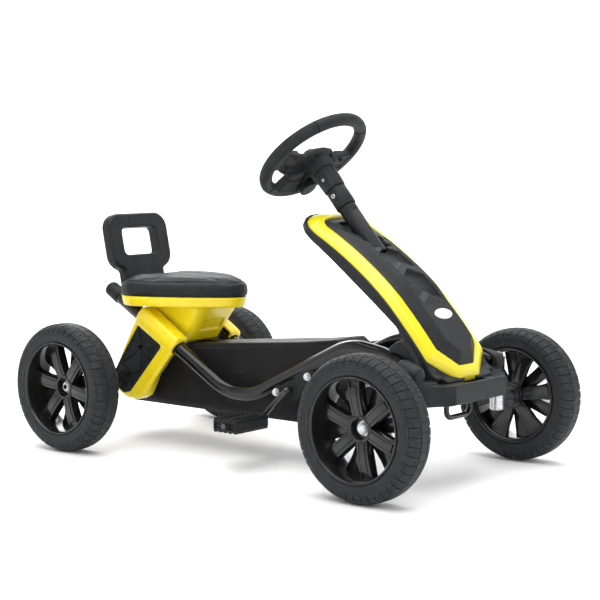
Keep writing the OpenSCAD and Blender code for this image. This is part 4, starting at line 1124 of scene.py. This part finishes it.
def f_pan(x, y, z):
    e = poly2(x, y, SEAT1)
    t = np.clip((z - 278) / 20.0, 0, 1)
    lip = 6.6 - 4.8 * t ** 0.7
    band = ext(e + lip, between(z, 277.8, 297.9), 2.8)
    cav = ext(e + lip + 7.0, between(z, 284.5, 320), 1.5)
    band = smax(band, -cav, 1.0)
    u = np.clip((z - 206) / 72.0, 0, 1.2)
    xr, xf, yh = -306 - 16 * u, -218 + 47 * u, 48.5 + 13.0 * u
    r = 22.0
    dx, dy = np.abs(x - (xr + xf) / 2) - (xf - xr) / 2 + r, np.abs(y) - yh + r
    q = np.hypot(np.maximum(dx, 0), np.maximum(dy, 0)) + np.minimum(np.maximum(dx, dy), 0) - r
    body = ext(q * 0.86, between(z, 206, 284), 5.0)
    inner = ext((q + 7.5) * 0.86, between(z, 213.5, 300), 3.0)
    tray = np.maximum(np.maximum((xf - 4.0 - x) * 0.84, np.abs(y) - 29.0), between(z, 229, 250))
    body = smax(body, -smax(tray, (x - xf - 12), 2.0), 2.0)
    d = smin(band, body, 5.0)
    d = smax(d, -inner, 1.0)
    notch = box(x, y, z, (-430, -70, 268), (-348, 70, 320), 2.0)
    d = smax(d, -notch, 0.8)
    tube = np.hypot(np.abs(y) - 78, (x + 171) * 0.5004 + (z - 172) * 0.8658)
    return smax(d, 14.9 - tube, 0.8)


recalc(moulded("seat_pan_moulding", f_pan, (-372, -121, 204), (-112, 121, 299), 2.1 * HS, "yellow", "chassis", ("seat_pan",)))


def poly_e(P):
    return -poly2(P[:, 0], P[:, 1], SEAT1)


def seat_pad():
    """Vinyl cover over foam: a closed crowned form, inflated as cloth, then sewn channels and stitches."""
    prof = [(0.02, 298.6), (0.35, 298.5), (0.7, 298.5), (0.93, 298.5), (0.985, 298.9), (0.995, 300.6), (0.996, 304), (0.996, 309), (0.996, 314), (0.995, 319), (0.985, 323.0),
            (0.962, 326.2), (0.93, 328.4), (0.88, 330.2), (0.80, 331.8), (0.68, 332.9), (0.5, 333.7), (0.3, 334.1), (0.02, 334.2)]
    V, F = loft([[(x, y, z) for x, y in seat_ring(k, 96)] for k, z in prof])
    V = np.asarray(V, float)
    o = add("seat_pad_cushion", V, F, "vinyl", "chassis", ("seat_pad",))
    recalc(o)
    rm = o.modifiers.new("even", "REMESH")
    rm.mode = "VOXEL"
    rm.voxel_size = 0.005
    rm.use_smooth_shade = True
    bpy.context.view_layer.update()
    dg = bpy.context.evaluated_depsgraph_get()
    me = bpy.data.meshes.new_from_object(o.evaluated_get(dg))
    o.modifiers.clear()
    o.data = me
    rest = np.empty(len(me.vertices) * 3)
    me.vertices.foreach_get("co", rest)
    rest = rest.reshape(-1, 3)
    pin = o.vertex_groups.new(name="pinned")
    low = [int(i) for i in np.nonzero(rest[:, 2] < 0.3055)[0]]
    pin.add(low, 1.0, "REPLACE")
    cl = o.modifiers.new("foam", "CLOTH")
    cs = cl.settings
    cs.quality = 6
    cs.mass = 0.3
    cs.tension_stiffness = cs.compression_stiffness = 18
    cs.shear_stiffness = 8
    cs.bending_stiffness = 1.2
    cs.use_pressure = True
    cs.uniform_pressure_force = 4.0
    cs.vertex_group_mass = "pinned"
    cs.effector_weights.gravity = 0
    cl.collision_settings.use_collision = False
    cl.point_cache.frame_start, cl.point_cache.frame_end = 1, 20
    for fnum in range(1, 21):
        scene.frame_set(fnum)
    dg = bpy.context.evaluated_depsgraph_get()
    sim = bpy.data.meshes.new_from_object(o.evaluated_get(dg))
    new = np.empty(len(sim.vertices) * 3)
    sim.vertices.foreach_get("co", new)
    new = new.reshape(-1, 3)
    o.modifiers.clear()
    o.vertex_groups.clear()
    scene.frame_set(1)
    mv = new - rest
    L = np.linalg.norm(mv, axis=1)
    cap = np.where(rest[:, 2] > 0.3235, 0.0028, 0.0012)
    rest = rest + mv * np.minimum(1, cap / np.maximum(L, 1e-9))[:, None]
    P = rest * 1000
    me = o.data
    me.vertices.foreach_set("co", (P * 0.001).ravel())
    me.update()
    sub = o.modifiers.new("smooth", "SUBSURF")
    sub.levels = sub.render_levels = 1
    dg = bpy.context.evaluated_depsgraph_get()
    me = bpy.data.meshes.new_from_object(o.evaluated_get(dg))
    o.modifiers.clear()
    o.data = me
    P = np.empty(len(me.vertices) * 3)
    me.vertices.foreach_get("co", P)
    P = P.reshape(-1, 3) * 1000
    Nn = np.empty(len(me.vertices) * 3)
    me.vertices.foreach_get("normal", Nn)
    Nn = Nn.reshape(-1, 3)
    e = poly_e(P)
    up = np.clip((P[:, 2] - 322.0) / 3.0, 0, 1)
    seam_y = 34.0 + 9.0 * ((P[:, 0] + 243) / 130.0) * -1.0
    g = 2.0 * np.exp(-((e - 8.5) / 1.9) ** 2) * up
    long = np.exp(-((np.abs(P[:, 1]) - seam_y) / 1.9) ** 2) * up * np.clip((e - 9.0) / 4.0, 0, 1)
    g = g + 2.4 * long
    # side panels swell a little between their seams
    swell = 1.6 * np.clip(1 - ((np.abs(P[:, 1]) - seam_y - 26) / 24.0) ** 2, 0, 1) * up * np.clip((e - 10) / 12, 0, 1)
    band = 0.9 * np.exp(-((P[:, 2] - 301.8) / 1.3) ** 2) * np.clip(1 - (e - 2) / 6, 0, 1)
    P = P - Nn * (g - swell + band)[:, None]
    me.vertices.foreach_set("co", (P * 0.001).ravel())
    me.update()
    me.polygons.foreach_set("use_smooth", [True] * len(me.polygons))
    me.materials.clear()
    me.materials.append(M["vinyl"])
    me.materials.append(M["vinyl_band"])
    me.materials.append(M["vinyl_mesh"])
    c = np.empty(len(me.polygons) * 3)
    me.polygons.foreach_get("center", c)
    c = c.reshape(-1, 3) * 1000
    ce = poly_e(c)
    sy = 34.0 - 9.0 * ((c[:, 0] + 243) / 130.0)
    idx = np.zeros(len(c), int)
    idx[(c[:, 2] < 323.5)] = 1
    idx[(c[:, 2] >= 323.5) & (np.abs(c[:, 1]) < sy) & (ce > 9.5)] = 2
    me.polygons.foreach_set("material_index", idx.tolist())
    # stitches laid on the surface
    from mathutils.bvhtree import BVHTree
    tree = BVHTree.FromPolygons([tuple(p) for p in P], [tuple(p.vertices) for p in me.polygons])
    G = Geo()

    def lay(path, pitch=4.6, ln=3.0, r=0.42):
        path = np.asarray(path, float)
        seg = np.linalg.norm(np.diff(path, axis=0), axis=1)
        s = np.concatenate([[0], np.cumsum(seg)])
        for a in np.arange(0.5, s[-1] - ln, pitch):
            q = []
            for t in (a, a + ln / 2, a + ln):
                x, y = np.interp(t, s, path[:, 0]), np.interp(t, s, path[:, 1])
                hit, nrm, _, _ = tree.ray_cast((x, y, 360.0), (0, 0, -1))
                if hit is None:
                    break
                lift = (-0.15, 0.42, -0.15)[len(q)]
                q.append(np.array(hit) + np.array(nrm) * lift)
            if len(q) == 3:
                V, F = sweep(q, [r * 0.6, r, r * 0.6], 6)
                G.put(V, F)

    S1P = seat_ring(1.0, 200)
    S1P = S1P if area2(S1P) > 0 else S1P[::-1]
    for dd in (5.4, 11.6):
        ring = inset(S1P, dd)
        lay(ring + [ring[0]])
    for s in (-1, 1):
        for off in (-3.4, 3.4):
            path = []
            for xx in np.linspace(-372, -114, 90):
                yy = s * (34.0 - 9.0 * ((xx + 243) / 130.0) + off)
                if poly_e(np.array([[xx, yy, 0]]))[0] > 12.5:
                    path.append((xx, yy))
            lay(path)
    st = G.add("seat_pad_stitching", "thread", "chassis", (), smooth=True)
    return o, st


pad_obj, pad_stitch = seat_pad()

CB, SB = math.cos(12 * D2R), math.sin(12 * D2R)


def rr2(y, z, w, h, r):
    a, b = np.abs(y) - w / 2 + r, np.abs(z) - h / 2 + r
    return np.hypot(np.maximum(a, 0), np.maximum(b, 0)) + np.minimum(np.maximum(a, b), 0) - r


def f_back(x, y, z):
    X, Z = x + 382, z - 340
    u, w = CB * X + SB * Z, -SB * X + CB * Z
    y, u, w = np.broadcast_arrays(y, u, w)
    o = rr2(y, w - 62, 168.5, 116, 32)
    hole = rr2(y, w - 62, 96, 56, 11)
    neck2 = np.maximum(np.abs(y) - 56, between(w, -66, 30))
    out = smin(o, neck2, 9.0)
    ring = ext(out, between(u, -25, 0), 7.0)
    d = smax(ring, -ext(hole, between(u, -60, 40), 0.0), 5.0)
    # parting lines round the side, vertical grooves on the face
    for g0 in (-9.0, -15.5):
        d = d + 0.9 * np.exp(-((u - g0) / 0.8) ** 2) * np.clip(1 - np.abs(out) / 3.0, 0, 1)
    gy = np.exp(-((np.abs(y) - 27.5) / 0.9) ** 2) * (u > -4) * np.clip((hole - 1) / 2, 0, 1)
    d = d + 1.0 * gy
    d = smax(d, -box(x, y, z, (-382.3, -70, 240), (-340, 70, 305)), 0.5)
    d = np.maximum(d, 276.2 - z)
    hl = np.hypot(np.abs(y) - 30, z - 288)
    return smax(d, 3.3 - hl, 0.4)


recalc(moulded("backrest_moulding", f_back, (-446, -86, 276), (-360, 86, 462), 1.9 * HS, "smooth_black", "chassis", ("backrest",)))

# ------------------------------------------------------------------ steering column parts, in the column's own frame
def local_col(x, y, z):
    X, Z = x - CC[0], z - CC[2]
    c, s = math.cos(LEAN), math.sin(LEAN)
    return c * X + s * Z, y, -s * X + c * Z


TC = COL.copy()
V, F = lathe([(14, -236), (16.4, -236), (17, -235.3), (17, -142), (16.7, -141.2), (16.7, -140.2), (17, -139.4), (17, -126), (16.2, -125), (14, -125)], 96, True)
recalc(Geo().put(V, F, TC).add("column_cover_sleeve", "smooth_black", BODY["column_cover"], ("column_cover",), sharp=35))
V, F = lathe([(11.05, -123.5), (18.6, -123.5), (19.0, -123.1), (19.2, -121.6), (19.7, -120.8), (19.7, -87.0), (19.3, -86.0), (18.8, -84.2), (18.0, -83.2), (11.05, -83.2)], 96, True)
g = Geo().put(V, F, TC)
g.add("lower_collar_sleeve", "smooth_black", BODY["lower_collar"], ("lower_collar",), sharp=35)


def f_collar(x, y, z):
    q = np.hypot(x, y)
    rad = 22.0 - 0.9 * np.clip((-z - 64) / 16.0, 0, 1) + 0.0 * y
    d = ext(q - rad, between(z, -83, -40.4), 1.4)
    # castellated lower edge
    ang = np.arctan2(y, x)
    teeth = np.maximum(np.maximum(-80.2 - z - 3.0, z + 80.4), 20.2 - q)
    d = smax(d, -np.maximum(teeth, np.cos(ang * 4 + 0.6) * 8 - 3.0), 0.6)
    flat = np.abs(x) - 9.0
    d = smax(d, -np.maximum(np.maximum(np.hypot(x, z + 60) - 7.4, y + 19.6), -30 - y), 0.8)
    d = smax(d, -np.maximum(np.hypot(x, z + 60) - 3.2, -(30 - np.abs(y))), 0.3)
    return smax(d, 11.1 - q, 0.4)


o = moulded("upper_collar_moulding", f_collar, (-23, -23, -84), (23, 23, -39), 1.1 * HS, "smooth_black", BODY["upper_collar"], ("upper_collar",), Tm=TC)
recalc(o)

# bolts: socket heads with a drilled centre, and the big nut at the foot of the column
g = Geo()
RX = np.array([[1, 0, 0], [0, 0, -1], [0, 1, 0]], float)      # local z -> world -y
for (z0, y0, r, h) in ((-60, -11.1, 6.0, 8.0), (-98, -15.1, 4.2, 3.6 + 2.4)):
    prof = [(0, 0), (r - 0.3, 0), (r, 0.4), (r, h - 0.9), (r - 0.8, h - 0.1), (r * 0.55, h), (r * 0.5, h - 0.2), (r * 0.5, h - 2.2), (0, h - 2.4)]
    V, F = lathe(prof, 48)
    g.put(V, F, TC @ T((0, y0, z0), R=RX))
V, F = lathe([(3.0, -466), (3.0, -456.3), (10.2, -456.3), (10.8, -456.9), (10.8, -460.0), (9.6, -461.8), (6, -462.0), (5.6, -464), (4, -466)], 6, True)
V, F = hex_nut(10.4, -462, -456.2, 1.2)
g.put(V, F, TC)
recalc(g.add("column_bolt_heads", "zinc", BODY["column_bolts"], ("column_bolts",), sharp=30))


SPID = [(14, -97), (-26, -94), (-36, -72), (-46, -43), (-64, -47), (-84, -47), (-84, 47), (-64, 47), (-46, 43), (-36, 72), (-26, 94), (14, 97), (12, 40), (28, 22), (28, -22), (12, -40)]


def f_wheel(x, y, z):
    q = np.hypot(x, y)
    ay = np.abs(y)
    rim = np.hypot(q - 102.0, z) - 12.0
    plan = rpoly(x, y, SPID, 5.0)
    # the web dips a little between hub and rim and turns down at its edge
    rise = 3.4 * np.clip((ay - 46) / 34.0, 0, 1) ** 1.5
    plate = ext(plan, between(z - rise, -14.5, -4.4), 2.2)
    plate = smax(plate, -ext(plan + 5.5, between(z, -40, -9.6), 0.8), 1.0)
    hub = ext(q - (24.2 + 4.5 * np.clip((z + 17) / 12.0, 0, 1) ** 2), between(z, -39.8, -4.4), 1.4)
    d = smin(plate, hub, 5.0)
    boss = box(x, ay, z, (-12, 54.5, -12), (12, 88, 3.8), 3.0)
    d = smin(d, boss, 1.6)
    # ribs from hub to arms, seen from below
    for a in (132, 180, 228, 60, 300):
        c, w = math.cos(a * D2R), math.sin(a * D2R)
        u, v = c * x + w * y, -w * x + c * y
        d = smin(d, np.maximum(ext(np.maximum(np.maximum(20 - u, u - 52), np.abs(v) - 1.8), between(z, -22.0, -8), 0.6), plan + 1.0), 1.4)
    # shell panel screwed on from below, and the ribbed block beside it
    pan = ext(rpoly(x, y, [(-30, -12), (-34, -42), (-58, -44), (-62, -14), (-44, -4)], 2.0), between(z, -17.6, -9), 1.2)
    d = smin(d, pan, 0.8)
    for sx, sy in ((-37, -38), (-57, -40), (-40, 34), (6, -66), (6, 66), (-22, -66), (-22, 66)):
        h = np.hypot(x - sx, y - sy)
        d = smin(d, ext(h - 4.6, between(z, -18.4, -6), 0.8), 1.0)
        d = smax(d, -ext(h - 2.5, between(z, -40, -12.5), 0.2), 0.4)
    blk = box(x, y, z, (-83, -44, -20.5), (-50, -4, -8), 2.0)
    d = smin(d, blk, 1.5)
    ribs = np.abs(np.mod(x + 83, 5.5) - 2.75) - 1.2
    d = smin(d, np.maximum(np.maximum(ribs, between(x, -82.5, -50.5)), ext(between(y, -43.6, -4.4) + 0 * z, between(z, -22.2, -16), 0.6)), 0.6)
    d = smin(d, rim, 7.0)
    d = smax(d, -ext(q - 15.2, between(z, -4.6, 30), 0.2), 0.3)
    d = smax(d, -ext(np.maximum(np.abs(x + 6) - 25, ay - 35), between(z, -4.1, 30), 0.2), 0.3)
    # shallow grooves where the grip sections meet
    ang = np.arctan2(y, x)
    for a in SEAMS:
        t = np.abs(np.mod(ang - a * D2R + math.pi, 2 * math.pi) - math.pi) * q
        d = d + 0.9 * np.exp(-(t / 0.9) ** 2) * (q > 88)
    return smax(d, 11.1 - q, 0.4)


o = recalc(moulded("steering_wheel_moulding", f_wheel, (-115, -115, -41), (115, 115, 12.5), 1.5 * HS, "grip", BODY["steering_wheel"], ("steering_wheel",), Tm=TC))

# thin seams where the grip sections meet, and the moulding line round the rim, drawn as near-black rings: painted shade
# in the grooves and along the line
g = Geo()
for a in SEAMS:
    c = np.array([102 * math.cos(a * D2R), 102 * math.sin(a * D2R), 0])
    e1 = np.array([math.cos(a * D2R), math.sin(a * D2R), 0])
    e2 = np.array([0, 0, 1.0])
    ring = [c + 11.85 * (math.cos(t) * e1 + math.sin(t) * e2) for t in np.linspace(0, 2 * math.pi, 49)]
    V, F = sweep(ring, 0.75, 8, cap=False)
    g.put(V, F, TC)
for ph in (38, -142):
    rr, zz = 102 + 11.9 * math.cos(ph * D2R), 11.9 * math.sin(ph * D2R)
    ring = [(rr * math.cos(t), rr * math.sin(t), zz) for t in np.linspace(0, 2 * math.pi, 145)]
    V, F = sweep(ring, 0.32, 6, cap=False)
    g.put(V, F, TC)
recalc(g.add("steering_wheel_seams", "dark", BODY["steering_wheel"], ()))


def f_wpad(x, y, z):
    t = np.clip((z + 3.9) / 6.0, 0, 1)
    P = [(-30, -24), (-22, -34), (11, -34), (18, -26), (18, 26), (11, 34), (-22, 34), (-30, 24)]
    d = ext(rpoly(x, y, P, 4.0) + 2.2 * t, between(z, -3.9, 2.4), 1.8)
    top = ext(rpoly(x, y, [(-25, -20), (-17, -28), (9, -28), (15.5, -21), (15.5, 21), (9, 28), (-17, 28), (-25, 20)], 3.0), between(z, -1, 4.6), 1.8)
    d = smin(d, top, 1.5)
    d = smax(d, -ext(np.hypot(x, y) - 14.3, between(z, -8, 30), 0.4), 0.8)
    lines = np.abs(np.mod(y + 4.0, 8.0) - 4.0) - 0.6
    return smax(d, -np.maximum(np.maximum(lines, 3.8 - z), 17 - np.abs(y)), 0.3)


recalc(moulded("wheel_pad_moulding", f_wpad, (-31, -35, -4), (19, 35, 5.2), 1.1 * HS, "smooth_black", BODY["wheel_pad"], ("wheel_pad",), Tm=TC))
V, F = lathe([(0, -1.9), (13.5, -1.9), (13.95, -1.4), (13.95, 1.6), (13.5, 2.6), (12.6, 3.2), (11.2, 3.4), (10.4, 3.9), (9.0, 5.0), (6.8, 5.8), (3.6, 6.2), (0, 6.3)], 72)
recalc(Geo().put(V, F, TC).add("horn_button_cap", "red", BODY["horn_button"], ("horn_button",), sharp=40))


def f_spk(x, y, z):
    X, y = x + 64, y - 22
    q = np.hypot(X, y)
    d = ext(q - 17.0 + 0 * z, between(z, -31.1, -13.2), 1.6)
    d = smax(d, -ext(np.abs(q - 14.6) - 0.6 + 0 * z, between(z, -40, -29.8), 0.1), 0.3)
    u, v = np.mod(X + 2.0, 4.0) - 2.0, np.mod(y + 2.0, 4.0) - 2.0
    hole = np.maximum(np.hypot(u, v) - 1.05, np.maximum(q - 12.6, z + 28.6))
    d = smax(d, -hole, 0.25)
    lug = box(X, y, z, (-22, -6, -18), (-14, 6, -13.4), 1.0)
    return smin(d, lug, 1.0)


recalc(moulded("horn_speaker_housing", f_spk, (-87, 4, -32), (-46, 40, -13), 0.62 * HS, "black", BODY["horn_speaker"], ("horn_speaker",), Tm=TC))

# ------------------------------------------------------------------ pedals
def pedal_fn(px, pz, ya, yb):
    def fn(x, y, z):
        X, Y, Z = x - px, y - (ya + yb) / 2, z - pz
        L = (yb - ya) / 2
        d = box(X, Y, Z, (-29, -L, -10.2), (29, L, 10.2), 4.0)
        r1 = np.abs(np.mod(X + 30, 12.0) - 6.0) - 3.0
        ribs = ext(np.maximum(np.maximum(r1, np.abs(X) - 27.5), np.abs(Y) - L + 1.0), np.abs(Z) - 12.9, 1.2)
        d = smin(d, ribs, 0.8)
        notch = np.abs(np.mod(Y + 6.0, 12.0) - 6.0) - 1.2
        d = smax(d, -np.maximum(np.maximum(notch, 11.2 - np.abs(Z)), np.abs(X) - 31), 0.4)
        for s in (-1, 1):
            d = smax(d, -ext(np.maximum(np.abs(X - s * 17) - 5.2, np.abs(Y) - L + 13.0), np.abs(Z) - 30, 0.3), 1.0)
            d = smax(d, -box(X, Y, Z, (s * 17 - 6.5, -L - 2, -6.0), (s * 17 + 6.5, -L + 4.0, 6.0), 1.0), 0.8)
            d = smax(d, -box(X, Y, Z, (s * 17 - 6.5, L - 4.0, -6.0), (s * 17 + 6.5, L + 2, 6.0), 1.0), 0.8)
        boss = ext(np.hypot(X, Z) - 10.8, np.abs(Y) - L, 1.0)
        d = smin(d, boss, 1.5)
        return smax(d, 5.35 - np.hypot(X, Z), 0.4)
    return fn


for nm, px, pz, ya, yb in (("right", 19.9, 84.9, -204, -113), ("left", 140.1, 205.1, 113, 204)):
    recalc(moulded(nm + "_pedal_block", pedal_fn(px, pz, ya, yb), (px - 30, ya - 0.5, pz - 14), (px + 30, yb + 0.5, pz + 14), 1.25 * HS, "black", BODY[nm + "_pedal"], (nm + "_pedal",)))


# ------------------------------------------------------------------ carried-over CAD nodes
CARRY = {"rear_cross_tube": ("paint", .6), "front_axle_beam": ("paint", 1.0), "centre_tube": ("paint", 1.6), "front_hoop": ("smooth_black", 0), "rear_axle_brackets": ("paint", .5),
         "rear_bearings": ("black", 1.2), "crank_bearings": ("black", 1.4), "frame_bolts": ("zinc", .5), "right_chain_case": ("case", 1.2), "left_chain_case": ("case", 1.2),
         "chain": ("steel", .15), "right_side_cover": ("yellow", 1), "left_side_cover": ("yellow", 1), "right_cover_insert": ("textured", .5), "left_cover_insert": ("textured", .5),
         "seat_pan": ("yellow", 1), "seat_pad": ("vinyl", 2), "seat_brackets": ("zinc", .4), "backrest": ("smooth_black", 2), "seat_bolts": ("zinc", .4), "bumper": ("smooth_black", 1.5),
         "nose_base": ("smooth_black", 1), "nose_trim": ("yellow_nose", 1), "nose_insert": ("textured", 1), "nose_badge": ("badge", .5), "column_cover": ("smooth_black", .8),
         "column_bushes": ("nylon", .3), "column_bracket": ("paint", .5), "rear_axle": ("zinc", .5), "rear_sprocket": ("steel", .25), "axle_spacers": ("black", .6),
         "crank": ("crank_black", 0), "chainring": ("steel", .25), "pedal_clips": ("black", .3), "right_pedal": ("black", 1), "left_pedal": ("black", 1), "steering_column": ("paint", .3),
         "steering_wheel": ("grip", 1), "wheel_pad": ("smooth_black", 1), "horn_speaker": ("black", .4), "upper_collar": ("smooth_black", .8), "lower_collar": ("smooth_black", .8),
         "column_bolts": ("zinc", .4), "drop_arm": ("steel", 0), "horn_button": ("red", 1), "track_rod": ("zinc", 0)}
for n, (mat, bw) in CARRY.items():
    o = NODES[n]
    if o.hide_render:
        continue
    o.data.materials.clear()
    o.data.materials.append(M[mat])
    if bw:
        b = o.modifiers.new("edge", "BEVEL")
        b.width = bw * 0.001
        b.segments = 2
        b.limit_method = "ANGLE"
        b.angle_limit = 32 * D2R
        b.harden_normals = False
        b.use_clamp_overlap = True


# ------------------------------------------------------------------ floor and light
# a pale floor that curves up into a wall all round
me = bpy.data.meshes.new("studio_floor")
prof = [(0.0, 0.0), (1.5, 0.0), (3.0, 0.0), (4.3, 0.0)] + [(4.3 + 1.5 * math.sin(a * D2R), 1.5 - 1.5 * math.cos(a * D2R)) for a in range(10, 91, 10)] + [(5.8, 3.0), (5.8, 4.5)]
fv, ff = [], []
for i in range(72):
    a = 2 * math.pi * i / 72
    for r, z in prof[1:]:
        fv.append((r * math.cos(a), r * math.sin(a), z))
fv.append((0, 0, 0))
pn = len(prof) - 1
for i in range(72):
    j = (i + 1) % 72
    ff.append((len(fv) - 1, i * pn, j * pn))
    for k in range(pn - 1):
        ff.append((i * pn + k, i * pn + k + 1, j * pn + k + 1, j * pn + k))
me.from_pydata(fv, [], ff)
me.update()
floor = bpy.data.objects.new("studio_floor", me)
scene.collection.objects.link(floor)
me.polygons.foreach_set("use_smooth", [True] * len(me.polygons))
fm = bpy.data.materials.new("floor_pale")
fm.use_nodes = True
fnt = fm.node_tree
fb = fnt.nodes["Principled BSDF"]
fb.inputs["Base Color"].default_value = (0.95, 0.95, 0.95, 1)
fb.inputs["Roughness"].default_value = 0.9
fb.inputs["Specular IOR Level"].default_value = 0.1
me.materials.append(fm)
floor.location.z = CAD_LO.z - 0.0004

world = bpy.data.worlds.new("studio")
scene.world = world
world.use_nodes = True
bg = world.node_tree.nodes["Background"]
bg.inputs[0].default_value = (1.0, 1.0, 1.0, 1)
bg.inputs[1].default_value = 0.42


def area(name, loc, target, size, power, size_y=None, col=(1, 1, 1)):
    d = bpy.data.lights.new(name, "AREA")
    d.shape = "RECTANGLE"
    d.size = size
    d.size_y = size_y or size
    d.energy = power
    d.color = col
    o = bpy.data.objects.new(name, d)
    scene.collection.objects.link(o)
    o.location = loc
    o.rotation_mode = "QUATERNION"
    o.rotation_quaternion = (Vector(target) - Vector(loc)).to_track_quat("-Z", "Y")
    return o


area("key_softbox", (0.6, -2.0, 2.6), (0, 0, 0.2), 1.2, 24, 1.0)
area("top_softbox", (-0.1, 0.2, 3.6), (0, 0, 0), 4.2, 180, 4.2)
area("side_softbox", (3.0, 0.6, 1.6), (0, 0, 0.2), 1.0, 10, 1.4)
area("back_softbox", (-2.6, 1.8, 2.0), (0, 0, 0.2), 1.4, 24, 1.4)
area("wall_wash", (-2.0, 2.6, 3.9), (-3.6, 4.6, 1.2), 3.0, 150, 1.2)
scene.view_settings.view_transform = "Standard"
